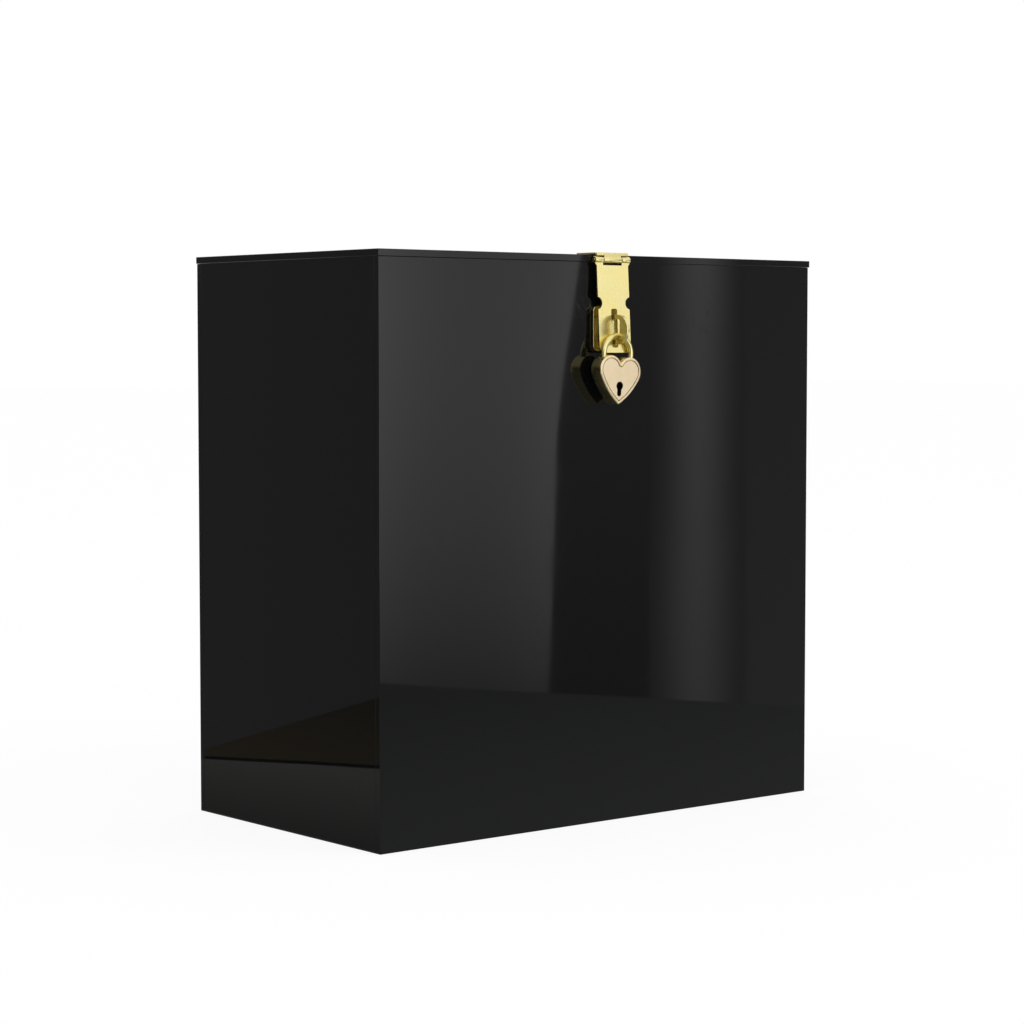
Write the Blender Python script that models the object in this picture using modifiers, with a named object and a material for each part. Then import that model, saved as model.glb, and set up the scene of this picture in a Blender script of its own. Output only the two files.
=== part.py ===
"""Upright card box in black acrylic sheet, with a gold hasp and a small heart padlock.

The origin is the bottom centre of the box, the front looks along -Y, and all sizes are metres.
Each piece is a separate closed solid. The lid turns on two butt hinges at the back, the hasp's
strap turns on the lid, and the padlock hangs from the staple on the front.
"""

import math

import bmesh
import bpy
from mathutils import Matrix, Vector

MM = 0.001

# Box
BOX_WIDTH = 254.0 * MM
BOX_DEPTH = 138.5 * MM
BOX_HEIGHT = 254.0 * MM
SHEET = 3.0 * MM
LID_OVERHANG = 0.5 * MM
EDGE_ROUND = 0.35 * MM
SEAT_GAP = 0.3 * MM
CARD_SLOT_LENGTH = 200.0 * MM
CARD_SLOT_WIDTH = 15.0 * MM
CARD_SLOT_CORNER = 3.0 * MM

# Screws and nuts
SCREW_RADIUS = 0.95 * MM
SCREW_HEAD_RADIUS = 1.8 * MM
SCREW_TIP = 0.6 * MM
SCREW_DRIVE_WIDTH = 0.45 * MM
SCREW_DRIVE_DEPTH = 0.35 * MM
SCREW_CLEARANCE = 0.25 * MM
NUT_RADIUS = 2.3 * MM
NUT_HEIGHT = 1.6 * MM
SCREW_SEGMENTS = 14

# Modelling
CUT_MARGIN = 5.0 * MM
WELD_DISTANCE = 0.001 * MM
SMOOTH_ANGLE = math.radians(35)
BEVEL_ANGLE = math.radians(60)
AXIS_MARK_SIZE = 10.0 * MM

# Hinge barrels, shared by the back hinges and the hasp
PIN_CLEARANCE = 0.15 * MM
KNUCKLE_GAP = 0.3 * MM
LEAF_INSET = 0.05 * MM
NECK_INSET = 0.1 * MM
NECK_RELIEF = 0.2 * MM
BARREL_SEGMENTS = 24

# Back hinges
HINGE_SPREAD = 92.0 * MM
HINGE_WIDTH = 25.0 * MM
HINGE_LEAF_LENGTH = 16.0 * MM
HINGE_LEAF_THICKNESS = 0.9 * MM
HINGE_BARREL_RADIUS = 1.9 * MM
HINGE_PIN_RADIUS = 0.85 * MM
HINGE_MIDDLE_KNUCKLE = 8.6 * MM
HINGE_SCREW_SPREAD = 15.0 * MM
HINGE_SCREW_REACH = 10.5 * MM

# Hasp
HASP_BARREL_RADIUS = 1.5 * MM
HASP_PIN_RADIUS = 0.7 * MM
HASP_BARREL_GAP = 0.3 * MM
HASP_BARREL_DROP = 1.85 * MM
HASP_BARREL_WIDTH = 20.4 * MM
HASP_MIDDLE_KNUCKLE = 10.4 * MM
HASP_LEAF_WIDTH = 19.0 * MM
HASP_LEAF_LENGTH = 13.5 * MM
HASP_LEAF_THICKNESS = 0.8 * MM
HASP_LEAF_SCREW_SPREAD = 11.0 * MM
HASP_LEAF_SCREW_REACH = 8.6 * MM
HASP_BEND_FORWARD = 1.1 * MM
HASP_BEND_BACK = 0.3 * MM
HASP_BEND_CORNER = 0.4 * MM
HASP_LIP_LIFT = 0.3 * MM
STRAP_WIDTH = 18.6 * MM
STRAP_THICKNESS = 1.0 * MM
STRAP_PROUD = 0.75 * MM
STRAP_TILT = math.radians(3.3)
STRAP_SHOULDER = 2.7 * MM
STRAP_WINDOW_DEPTH = 2.4 * MM
STRAP_END_CORNER = 3.0 * MM
STRAP_WAIST_REACH = 19.25 * MM
STRAP_WAIST_RADIUS = 2.7 * MM
STRAP_WAIST_DEPTH = 2.4 * MM
STRAP_SLOT_CORNER = 0.8 * MM
STRAP_END_WALL = 2.4 * MM
SLOT_BESIDE_EAR = 0.95 * MM
SLOT_ABOVE_EAR = 2.45 * MM
SLOT_BELOW_EAR = 0.9 * MM

# Staple on the front panel
STAPLE_BELOW_PIN = 30.3 * MM
STAPLE_WIDTH = 19.0 * MM
STAPLE_HEIGHT = 20.0 * MM
STAPLE_THICKNESS = 0.9 * MM
STAPLE_CORNER = 2.5 * MM
STAPLE_SCREW_SPREAD = 12.4 * MM
EAR_THICKNESS = 1.5 * MM
EAR_REACH = 13.8 * MM
EAR_HEIGHT = 13.4 * MM
EAR_LOWERED = 0.6 * MM
EAR_WALL_BELOW = 2.4 * MM
EAR_WALL_ABOVE = 2.1 * MM
EAR_HOLE_DEPTH = 5.0 * MM
EAR_HOLE_CLEARANCE = 0.4 * MM
EAR_HOLE_CORNER = 0.9 * MM

# Padlock, in its own frame: the origin is the middle of the shackle's wire at the top of the arch
LOCK_SIDE = 0.3 * MM
LOCK_TILT = math.radians(5.5)
SHACKLE_WIRE_RADIUS = 1.25 * MM
SHACKLE_RADIUS = 7.95 * MM
SHACKLE_TOE_DEPTH = 4.1 * MM
SHACKLE_HEEL_DEPTH = 8.7 * MM
SHACKLE_COLLAR_RADIUS = 1.7 * MM
SHACKLE_COLLAR_HEIGHT = 0.6 * MM
SHACKLE_TRAVEL = 5.0 * MM
BORE_CLEARANCE = 0.3 * MM
LOCK_TOP_DROP = 9.1 * MM
LOCK_THICKNESS = 6.8 * MM
LOCK_RIM = 1.2 * MM
LOCK_RIM_BEVEL = 0.6 * MM
LOCK_RECESS = 1.0 * MM
LOCK_WALL = 2.0 * MM
LOCK_BACK_WALL = 1.0 * MM
LOCK_COVER_THICKNESS = 0.6 * MM
HEART_HALF_WIDTH = 12.0 * MM
HEART_LOBE_RADIUS = 6.4 * MM
HEART_SIDE_RADIUS = 34.0 * MM
HEART_SIDE_START = math.radians(29.0)
HEART_TIP_RADIUS = 1.0 * MM
KEYHOLE_RADIUS = 1.9 * MM
KEYHOLE_ABOVE_TIP = 8.1 * MM
KEYHOLE_TAIL_WIDTH = 2.4 * MM
KEYHOLE_TAIL_ABOVE_TIP = 3.5 * MM

# Latch inside the padlock
LATCH_TRAVEL = 1.4 * MM
LATCH_THICKNESS = 1.2 * MM
LATCH_NOSE_DEPTH = 1.2 * MM
LATCH_NOSE_HEIGHT = 0.8 * MM
LATCH_NOSE_LENGTH = 2.0 * MM
LATCH_WIDTH = 6.6 * MM
LATCH_TAIL_WIDTH = 4.0 * MM
LATCH_SHOULDER_DROP = 2.5 * MM
LATCH_BODY_HEIGHT = 3.0 * MM
LATCH_POST_RADIUS = 0.5 * MM
GUIDE_CORNER_SHARE = 0.9
NOTCH_DEPTH = 1.25 * MM
NOTCH_HEIGHT = 1.4 * MM
TOE_LIP = 0.5 * MM
SPRING_RADIUS = 0.62 * MM
SPRING_WIRE_RADIUS = 0.17 * MM
SPRING_LENGTH = 4.2 * MM
SPRING_TURNS = 5
SPRING_POINTS_PER_TURN = 10
SPRING_STOP_WIDTH = 0.8 * MM
SPRING_STOP_HEIGHT = 1.8 * MM

# Places worked out from the sizes above
FRONT = -BOX_DEPTH / 2
BACK = BOX_DEPTH / 2
SIDE = BOX_WIDTH / 2
WALL_TOP = BOX_HEIGHT - SHEET - SEAT_GAP
LID_BOTTOM = BOX_HEIGHT - SHEET
HASP_AXIS_FORWARD = LID_OVERHANG + HASP_BARREL_GAP + HASP_BARREL_RADIUS

PARTS_NAME = "card_box"
CUTTERS_NAME = "cutters"

# The pieces that turn with the lid, by the start of their names
LID_PIECES = ("lid_panel", "hinge_left_lid", "hinge_right_lid", "hinge_lid", "hasp_leaf", "hasp_pin")


def start_scene():
    """Remove what the scene holds, and make the two collections."""
    for old in list(bpy.data.objects):
        bpy.data.objects.remove(old, do_unlink=True)
    for old in list(bpy.data.collections):
        bpy.data.collections.remove(old)
    for name in (PARTS_NAME, CUTTERS_NAME):
        bpy.context.scene.collection.children.link(bpy.data.collections.new(name))


def make_material(name, colour, roughness, metallic):
    material = bpy.data.materials.new(name)
    material.use_nodes = True
    shader = material.node_tree.nodes["Principled BSDF"]
    shader.inputs["Base Color"].default_value = (*colour, 1.0)
    shader.inputs["Roughness"].default_value = roughness
    shader.inputs["Metallic"].default_value = metallic
    material.diffuse_color = (*colour, 1.0)
    return material


def link_part(obj, material):
    """Put an object among the parts, with its material."""
    bpy.data.collections[PARTS_NAME].objects.link(obj)
    obj.data.materials.clear()
    obj.data.materials.append(material)
    return obj


def link_cutter(obj):
    """Put an object among the cutters, hidden from renders."""
    bpy.data.collections[CUTTERS_NAME].objects.link(obj)
    obj.hide_render = True
    obj.display_type = "WIRE"
    return obj


def object_from_bmesh(name, mesh_edit, matrix=Matrix.Identity(4)):
    mesh = bpy.data.meshes.new(name)
    mesh_edit.to_mesh(mesh)
    mesh_edit.free()
    obj = bpy.data.objects.new(name, mesh)
    obj.matrix_world = matrix
    return obj


def box_object(name, low, high):
    """A box between two corners, with its origin at its centre."""
    size = Vector(high) - Vector(low)
    centre = (Vector(high) + Vector(low)) / 2
    mesh_edit = bmesh.new()
    bmesh.ops.create_cube(mesh_edit, size=1.0, matrix=Matrix.Diagonal((*size, 1.0)))
    return object_from_bmesh(name, mesh_edit, Matrix.Translation(centre))


def cylinder_object(name, radius, length, matrix, segments=BARREL_SEGMENTS):
    """A cylinder along the local Z axis, centred on the matrix."""
    mesh_edit = bmesh.new()
    bmesh.ops.create_cone(
        mesh_edit, cap_ends=True, segments=segments, radius1=radius, radius2=radius, depth=length)
    obj = object_from_bmesh(name, mesh_edit, matrix)
    shade_round(obj)
    return obj


def shade_round(obj):
    obj.data.shade_smooth()
    obj.data.set_sharp_from_angle(angle=SMOOTH_ANGLE)


def evaluated_mesh(obj):
    """The mesh of an object with its modifiers, as the viewport shows it."""
    bpy.context.view_layer.update()
    graph = bpy.context.evaluated_depsgraph_get()
    return bpy.data.meshes.new_from_object(obj.evaluated_get(graph))


def mesh_from_curve(curve_object, name):
    """Turn a curve object into a mesh object, with its caps welded."""
    bpy.context.scene.collection.objects.link(curve_object)
    mesh = evaluated_mesh(curve_object)
    mesh.name = name
    weld = bmesh.new()
    weld.from_mesh(mesh)
    bmesh.ops.remove_doubles(weld, verts=weld.verts, dist=WELD_DISTANCE)
    weld.to_mesh(mesh)
    weld.free()
    obj = bpy.data.objects.new(name, mesh)
    obj.matrix_world = curve_object.matrix_world
    bpy.data.objects.remove(curve_object, do_unlink=True)
    return obj


def plate_object(name, outlines, thickness, matrix=Matrix.Identity(4)):
    """A flat plate in the local XY plane, centred on z = 0. Outlines inside the first are holes."""
    curve = bpy.data.curves.new(name + "_outline", "CURVE")
    curve.dimensions = "2D"
    curve.fill_mode = "BOTH"
    curve.extrude = thickness / 2
    for outline in outlines:
        spline = curve.splines.new("POLY")
        spline.points.add(len(outline) - 1)
        for point, (x, y) in zip(spline.points, outline):
            point.co = (x, y, 0.0, 1.0)
        spline.use_cyclic_u = True
    curve_object = bpy.data.objects.new(name + "_outline", curve)
    curve_object.matrix_world = matrix
    return mesh_from_curve(curve_object, name)


def wire_object(name, points, radius, sides_setting, matrix=Matrix.Identity(4)):
    """A round wire along a list of points, with closed ends."""
    curve = bpy.data.curves.new(name + "_wire", "CURVE")
    curve.dimensions = "3D"
    curve.bevel_depth = radius
    curve.bevel_resolution = sides_setting
    curve.use_fill_caps = True
    spline = curve.splines.new("POLY")
    spline.points.add(len(points) - 1)
    for point, place in zip(spline.points, points):
        point.co = (*place, 1.0)
    curve_object = bpy.data.objects.new(name + "_wire", curve)
    curve_object.matrix_world = matrix
    obj = mesh_from_curve(curve_object, name)
    shade_round(obj)
    return obj


def turned_object(name, profile, segments, matrix=Matrix.Identity(4)):
    """A solid turned about the local Z axis from a profile that runs from top to bottom."""
    mesh_edit = bmesh.new()
    corners = [mesh_edit.verts.new((radius, 0.0, height)) for radius, height in profile]
    for first, second in zip(corners, corners[1:]):
        mesh_edit.edges.new((first, second))
    obj = object_from_bmesh(name, mesh_edit, matrix)
    screw = obj.modifiers.new("Turn", "SCREW")
    screw.steps = segments
    screw.render_steps = segments
    screw.use_merge_vertices = True
    screw.merge_threshold = WELD_DISTANCE
    return obj


def boolean(target, tool, operation="DIFFERENCE"):
    modifier = target.modifiers.new(operation.title(), "BOOLEAN")
    modifier.operation = operation
    modifier.object = tool
    modifier.solver = "EXACT"


def round_edges(obj, width, segments=1):
    bevel = obj.modifiers.new("Edges", "BEVEL")
    bevel.width = width
    bevel.segments = segments
    bevel.limit_method = "ANGLE"
    bevel.angle_limit = BEVEL_ANGLE


def arc(centre, radius, start, end, steps):
    """Points on an arc, with both ends. Angles are in radians."""
    points = []
    for step in range(steps + 1):
        angle = start + (end - start) * step / steps
        points.append((centre[0] + radius * math.cos(angle), centre[1] + radius * math.sin(angle)))
    return points


def rounded_rectangle(left, right, bottom, top, radius, steps=4):
    """A rectangle's outline, anticlockwise, with four round corners."""
    quarter = math.pi / 2
    points = []
    corners = ((right - radius, top - radius), (left + radius, top - radius),
               (left + radius, bottom + radius), (right - radius, bottom + radius))
    for number, corner in enumerate(corners):
        points += arc(corner, radius, number * quarter, (number + 1) * quarter, steps)
    return points


def frame_matrix(origin, x_axis, y_axis, z_axis):
    """A matrix whose local axes point along the three given directions."""
    rotation = Matrix((x_axis, y_axis, z_axis)).transposed()
    return Matrix.Translation(origin) @ rotation.to_4x4()


def joined_copies(name, mesh, matrices):
    """One object that holds a separate copy of a mesh at each matrix."""
    mesh_edit = bmesh.new()
    for matrix in matrices:
        copy = mesh.copy()
        copy.transform(matrix)
        mesh_edit.from_mesh(copy)
        bpy.data.meshes.remove(copy)
    return object_from_bmesh(name, mesh_edit)


def shared_copies(name, mesh, matrices, material):
    """One part for each matrix, numbered from 1, all on the same mesh."""
    for number, matrix in enumerate(matrices, 1):
        copy = bpy.data.objects.new(f"{name}_{number}", mesh)
        copy.matrix_world = matrix
        link_part(copy, material)


def cut_blank(blank, tool):
    """The mesh of a blank with a tool cut out of it. Both objects are used up."""
    bpy.context.scene.collection.objects.link(blank)
    bpy.context.scene.collection.objects.link(tool)
    boolean(blank, tool)
    mesh = evaluated_mesh(blank)
    bpy.data.objects.remove(blank, do_unlink=True)
    bpy.data.objects.remove(tool, do_unlink=True)
    return mesh


# Screws and nuts

def screw_profile(length, head_depth, extra=0.0):
    """Head on top at z = 0. The extra makes the clearance hole of the same screw."""
    return [(0.0, extra), (SCREW_HEAD_RADIUS + extra, extra), (SCREW_HEAD_RADIUS + extra, 0.0),
            (SCREW_RADIUS + extra, -head_depth), (SCREW_RADIUS + extra, -length - extra),
            (0.0, -length - extra)]


def screw_frames(places, direction):
    """Frames on the head's face, with local -Z along the screw."""
    z_axis = -Vector(direction)
    x_axis = Vector((1.0, 0.0, 0.0))
    return [frame_matrix(place, x_axis, z_axis.cross(x_axis), z_axis) for place in places]


def screw_length(leaf_thickness):
    return leaf_thickness + SEAT_GAP + SHEET + SEAT_GAP + NUT_HEIGHT + SCREW_TIP


def screws_and_nuts(name, places, direction, leaf_thickness, material):
    """Countersunk screws through a leaf and a panel, their nuts, and the cutter for both."""
    length = screw_length(leaf_thickness)
    frames = screw_frames(places, direction)
    profile = [(0.0, 0.0)] + screw_profile(length, leaf_thickness)[2:]
    drive_reach = SCREW_HEAD_RADIUS + SCREW_CLEARANCE
    drive = box_object(
        "screw_drive", (-drive_reach, -SCREW_DRIVE_WIDTH / 2, -SCREW_DRIVE_DEPTH),
        (drive_reach, SCREW_DRIVE_WIDTH / 2, SCREW_DRIVE_DEPTH))
    screw = cut_blank(turned_object("screw_blank", profile, SCREW_SEGMENTS), drive)
    shared_copies(name + "_screw", screw, frames, material)

    nut_bore = cylinder_object(
        "nut_bore", SCREW_RADIUS + SCREW_CLEARANCE, NUT_HEIGHT + CUT_MARGIN, Matrix.Identity(4),
        SCREW_SEGMENTS)
    nut = cut_blank(
        cylinder_object("nut_blank", NUT_RADIUS, NUT_HEIGHT, Matrix.Identity(4), 6), nut_bore)
    nut_top = leaf_thickness + SEAT_GAP + SHEET + SEAT_GAP
    drop = Matrix.Translation((0.0, 0.0, -nut_top - NUT_HEIGHT / 2))
    shared_copies(name + "_nut", nut, [frame @ drop for frame in frames], material)

    hole = turned_object(
        "hole_blank", screw_profile(length, leaf_thickness, SCREW_CLEARANCE), SCREW_SEGMENTS)
    bpy.context.scene.collection.objects.link(hole)
    cutter = link_cutter(joined_copies(name + "_holes", evaluated_mesh(hole), frames))
    bpy.data.objects.remove(hole, do_unlink=True)
    return cutter


# Hinge leaves

def leaf_outline(width, length, start, middle, has_middle):
    """A leaf seen square on: a plate with a neck for each knuckle, anticlockwise.

    The edge beside a middle neck slopes back a little, which relieves the neck's root.
    """
    edge = width / 2 - NECK_INSET
    if has_middle:
        neck = middle / 2 - NECK_INSET
        right = [(neck, 0.0), (neck, start + NECK_RELIEF), (edge, start), (edge, length)]
    else:
        neck = middle / 2 + KNUCKLE_GAP + NECK_INSET
        right = [(neck, start), (neck, 0.0), (edge, 0.0), (edge, length)]
    return [(-x, y) for x, y in reversed(right)] + right


def leaf_bend(name, width, top, bottom, inset, matrix):
    """The leaf's front edge, bent down: a block from the plate's top to a height above the axis."""
    outline = rounded_rectangle(
        -HASP_BEND_FORWARD + inset, HASP_BEND_BACK - inset, -top + LEAF_INSET + inset, -bottom,
        HASP_BEND_CORNER, 3)
    across = frame_matrix((0.0, 0.0, 0.0), (0, 1, 0), (0, 0, 1), (1, 0, 0))
    return plate_object(name + "_bend", [outline], width - 4 * NECK_INSET, matrix @ across)


def leaf_object(name, sizes, middle, has_middle, matrix, drop=0.0):
    """A leaf with its knuckles. Local X is the pin's axis, and the plate runs along local +Y.

    The plate lies at the local -Z side of the barrel, and by a drop further from it. With a drop the
    plate's front edge bends down: in the middle to the knuckle, beside it to a lip over the strap's
    knuckles. The sizes are the leaf's width, length and thickness, and the barrel's and the pin's
    radius.
    """
    width, length, thickness, barrel_radius, pin_radius = sizes
    if drop > 0.0:
        edge = width / 2 - NECK_INSET
        outline = [(-edge, length), (-edge, 0.0), (edge, 0.0), (edge, length)]
    else:
        outline = leaf_outline(width, length, barrel_radius + KNUCKLE_GAP, middle, has_middle)
    sink = Matrix.Translation((0.0, 0.0, -barrel_radius - drop + LEAF_INSET + thickness / 2))
    leaf = plate_object(name, [outline], thickness, matrix @ sink)
    along = Matrix.Rotation(math.pi / 2, 4, "Y")
    knuckles = [(-middle / 2, middle / 2)] if has_middle else outer_knuckles(width, middle)
    for low, high in knuckles:
        spot = matrix @ Matrix.Translation(((low + high) / 2, 0.0, 0.0)) @ along
        barrel = link_cutter(cylinder_object(name + "_knuckle", barrel_radius, high - low, spot))
        boolean(leaf, barrel, "UNION")
    if drop > 0.0:
        top = barrel_radius + drop
        lip = barrel_radius + HASP_LIP_LIFT
        for span, bottom, inset in ((width, lip, 3 * LEAF_INSET), (middle, 0.0, LEAF_INSET)):
            block = leaf_bend(name, span, top, bottom, inset, matrix)
            boolean(leaf, link_cutter(block), "UNION")
    bore = link_cutter(cylinder_object(
        name + "_bore", pin_radius + PIN_CLEARANCE, width + CUT_MARGIN, matrix @ along, SCREW_SEGMENTS))
    boolean(leaf, bore)
    return leaf


def outer_knuckles(width, middle):
    """The two outer spans beside a middle knuckle, with a running gap."""
    inner = middle / 2 + KNUCKLE_GAP
    return [(-width / 2, -inner), (inner, width / 2)]


def pin_object(name, radius, length, centre):
    along = Matrix.Translation(centre) @ Matrix.Rotation(math.pi / 2, 4, "Y")
    return cylinder_object(name, radius, length, along, SCREW_SEGMENTS)


# Box panels and lid

def build_panels(acrylic, hinge_wall_holes, staple_holes):
    panels = {
        "front_panel": ((-SIDE, FRONT, 0.0), (SIDE, FRONT + SHEET, WALL_TOP)),
        "back_panel": ((-SIDE, BACK - SHEET, 0.0), (SIDE, BACK, WALL_TOP)),
        "left_panel": ((-SIDE, FRONT + SHEET + SEAT_GAP, 0.0),
                       (-SIDE + SHEET, BACK - SHEET - SEAT_GAP, WALL_TOP)),
        "right_panel": ((SIDE - SHEET, FRONT + SHEET + SEAT_GAP, 0.0),
                        (SIDE, BACK - SHEET - SEAT_GAP, WALL_TOP)),
        "bottom_panel": ((-SIDE + SHEET + SEAT_GAP, FRONT + SHEET + SEAT_GAP, 0.0),
                         (SIDE - SHEET - SEAT_GAP, BACK - SHEET - SEAT_GAP, SHEET)),
    }
    for name, (low, high) in panels.items():
        panel = link_part(box_object(name, low, high), acrylic)
        round_edges(panel, EDGE_ROUND)
        if name == "front_panel":
            boolean(panel, staple_holes)
        if name == "back_panel":
            boolean(panel, hinge_wall_holes)


def build_lid(acrylic, hinge_lid_holes, hasp_leaf_holes):
    """The lid hangs over the front and the sides, and ends flush at the back."""
    outline = rounded_rectangle(
        -SIDE - LID_OVERHANG, SIDE + LID_OVERHANG, FRONT - LID_OVERHANG, BACK, EDGE_ROUND, 2)
    slot = rounded_rectangle(
        -CARD_SLOT_LENGTH / 2, CARD_SLOT_LENGTH / 2, -CARD_SLOT_WIDTH / 2, CARD_SLOT_WIDTH / 2,
        CARD_SLOT_CORNER)
    middle = Matrix.Translation((0.0, 0.0, LID_BOTTOM + SHEET / 2))
    lid = link_part(plate_object("lid_panel", [outline, slot], SHEET, middle), acrylic)
    boolean(lid, hinge_lid_holes)
    boolean(lid, hasp_leaf_holes)


# Back hinges

def back_hinge_axis():
    """The barrel stands outside the back corner, tangent to both leaves."""
    offset = SEAT_GAP + HINGE_BARREL_RADIUS - LEAF_INSET
    return BACK + offset, BOX_HEIGHT + offset


def hinge_centres():
    return {"left": -HINGE_SPREAD / 2, "right": HINGE_SPREAD / 2}


def hinge_screw_places():
    axis_y, axis_z = back_hinge_axis()
    lid_places = []
    wall_places = []
    for centre in hinge_centres().values():
        for side in (-1, 1):
            x = centre + side * HINGE_SCREW_SPREAD / 2
            lid_places.append((x, axis_y - HINGE_SCREW_REACH,
                               BOX_HEIGHT + SEAT_GAP + HINGE_LEAF_THICKNESS))
            wall_places.append((x, BACK + SEAT_GAP + HINGE_LEAF_THICKNESS,
                                axis_z - HINGE_SCREW_REACH))
    return lid_places, wall_places


def build_back_hinges(gold, lid_holes, wall_holes):
    axis_y, axis_z = back_hinge_axis()
    sizes = (HINGE_WIDTH, HINGE_LEAF_LENGTH, HINGE_LEAF_THICKNESS, HINGE_BARREL_RADIUS, HINGE_PIN_RADIUS)
    for side, centre in hinge_centres().items():
        spot = Vector((centre, axis_y, axis_z))
        lid_frame = frame_matrix(spot, (-1, 0, 0), (0, -1, 0), (0, 0, 1))
        lid_leaf = leaf_object(f"hinge_{side}_lid_leaf", sizes, HINGE_MIDDLE_KNUCKLE, True, lid_frame)
        boolean(link_part(lid_leaf, gold), lid_holes)
        wall_frame = frame_matrix(spot, (1, 0, 0), (0, 0, -1), (0, 1, 0))
        wall_leaf = leaf_object(f"hinge_{side}_wall_leaf", sizes, HINGE_MIDDLE_KNUCKLE, False, wall_frame)
        boolean(link_part(wall_leaf, gold), wall_holes)
        link_part(pin_object(f"hinge_{side}_pin", HINGE_PIN_RADIUS, HINGE_WIDTH, spot), gold)


# Hasp: the leaf on the lid, the pin and the swinging strap

def hasp_axis():
    """The barrel lies in front of the lid's edge, below the leaf on the lid."""
    height = BOX_HEIGHT + SEAT_GAP + HASP_LEAF_THICKNESS + LEAF_INSET - HASP_BARREL_RADIUS - HASP_BARREL_DROP
    return Vector((0.0, FRONT - HASP_AXIS_FORWARD, height))


def hasp_leaf_screw_places():
    axis = hasp_axis()
    height = BOX_HEIGHT + SEAT_GAP + HASP_LEAF_THICKNESS
    return [(side * HASP_LEAF_SCREW_SPREAD / 2, axis.y + HASP_LEAF_SCREW_REACH, height)
            for side in (-1, 1)]


def build_hasp_leaf(gold, holes):
    sizes = (HASP_LEAF_WIDTH, HASP_LEAF_LENGTH, HASP_LEAF_THICKNESS, HASP_BARREL_RADIUS, HASP_PIN_RADIUS)
    frame = frame_matrix(hasp_axis(), (-1, 0, 0), (0, 1, 0), (0, 0, -1))
    leaf = leaf_object("hasp_leaf", sizes, HASP_MIDDLE_KNUCKLE, True, frame, HASP_BARREL_DROP)
    link_part(leaf, gold)
    boolean(leaf, holes)
    link_part(pin_object("hasp_pin", HASP_PIN_RADIUS, HASP_BARREL_WIDTH, hasp_axis()), gold)


def strap_slot_reaches():
    """Where the slot starts and ends, from the pin: it swings over the ear without touching it."""
    top = STAPLE_BELOW_PIN + EAR_LOWERED - EAR_HEIGHT / 2 - SLOT_ABOVE_EAR
    ear_forward = EAR_REACH - EAR_HEIGHT / 2 - HASP_AXIS_FORWARD
    swing = math.hypot(ear_forward, STAPLE_BELOW_PIN + EAR_LOWERED) + EAR_HEIGHT / 2
    return top, swing + SLOT_BELOW_EAR


def strap_length():
    return strap_slot_reaches()[1] + STRAP_END_WALL


def strap_outline():
    """The strap seen from the front, with the pin's axis at y = 0, anticlockwise from the top left.

    A window at the top clears the leaf's knuckle, and a round bite narrows each side.
    """
    half = STRAP_WIDTH / 2
    shoulder = HASP_BARREL_WIDTH / 2
    window = HASP_MIDDLE_KNUCKLE / 2 + KNUCKLE_GAP
    bite_x = half + STRAP_WAIST_RADIUS - STRAP_WAIST_DEPTH
    reach = math.acos((bite_x - half) / STRAP_WAIST_RADIUS)
    left = [(-shoulder, 0.0), (-shoulder, -HASP_BARREL_RADIUS), (-half, -STRAP_SHOULDER)]
    left += arc((-bite_x, -STRAP_WAIST_REACH), STRAP_WAIST_RADIUS, reach, -reach, 8)
    corner = (-half + STRAP_END_CORNER, -strap_length() + STRAP_END_CORNER)
    left += arc(corner, STRAP_END_CORNER, math.pi, 1.5 * math.pi, 5)
    right = [(-x, y) for x, y in reversed(left)]
    top = [(window, 0.0), (window, -STRAP_WINDOW_DEPTH), (-window, -STRAP_WINDOW_DEPTH), (-window, 0.0)]
    return left + right + top


def strap_frame():
    """Local X along the pin, local Y up the strap and local Z out of its front face."""
    upright = frame_matrix(hasp_axis(), (1, 0, 0), (0, 0, 1), (0, -1, 0))
    return upright @ Matrix.Rotation(-STRAP_TILT, 4, "X")


def build_strap(gold):
    frame = strap_frame()
    slot_top, slot_bottom = strap_slot_reaches()
    slot_half = EAR_THICKNESS / 2 + SLOT_BESIDE_EAR
    slot = rounded_rectangle(-slot_half, slot_half, -slot_bottom, -slot_top, STRAP_SLOT_CORNER, 3)
    sink = Matrix.Translation((0.0, 0.0, STRAP_PROUD - STRAP_THICKNESS / 2))
    strap = plate_object("hasp_strap", [strap_outline(), slot], STRAP_THICKNESS, frame @ sink)
    link_part(strap, gold)
    along = Matrix.Rotation(math.pi / 2, 4, "Y")
    for low, high in outer_knuckles(HASP_BARREL_WIDTH, HASP_MIDDLE_KNUCKLE):
        spot = frame @ Matrix.Translation(((low + high) / 2, 0.0, 0.0)) @ along
        knuckle = cylinder_object("hasp_strap_knuckle", HASP_BARREL_RADIUS, high - low, spot)
        boolean(strap, link_cutter(knuckle), "UNION")
    bore = cylinder_object(
        "hasp_strap_bore", HASP_PIN_RADIUS + PIN_CLEARANCE, HASP_BARREL_WIDTH + CUT_MARGIN,
        frame @ along, SCREW_SEGMENTS)
    boolean(strap, link_cutter(bore))


# Staple: a base plate with an ear that stands out of it

def staple_middle():
    """Height of the middle of the base plate."""
    return hasp_axis().z - STAPLE_BELOW_PIN


def ear_heights():
    """Heights of the ear's lower and upper edge."""
    middle = staple_middle() - EAR_LOWERED
    return middle - EAR_HEIGHT / 2, middle + EAR_HEIGHT / 2


def shackle_place():
    """Middle of the shackle's wire in the ear's hole, clear of the strap down to the strap's end."""
    strap_front = HASP_AXIS_FORWARD + STRAP_PROUD + strap_length() * math.sin(STRAP_TILT)
    forward = strap_front + SEAT_GAP + SHACKLE_WIRE_RADIUS
    height = ear_heights()[0] + EAR_WALL_BELOW + SEAT_GAP + SHACKLE_WIRE_RADIUS
    return forward, height


def staple_screw_places():
    height = staple_middle()
    face = FRONT - SEAT_GAP - STAPLE_THICKNESS
    return [(side * STAPLE_SCREW_SPREAD / 2, face, height) for side in (-1, 1)]


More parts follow.
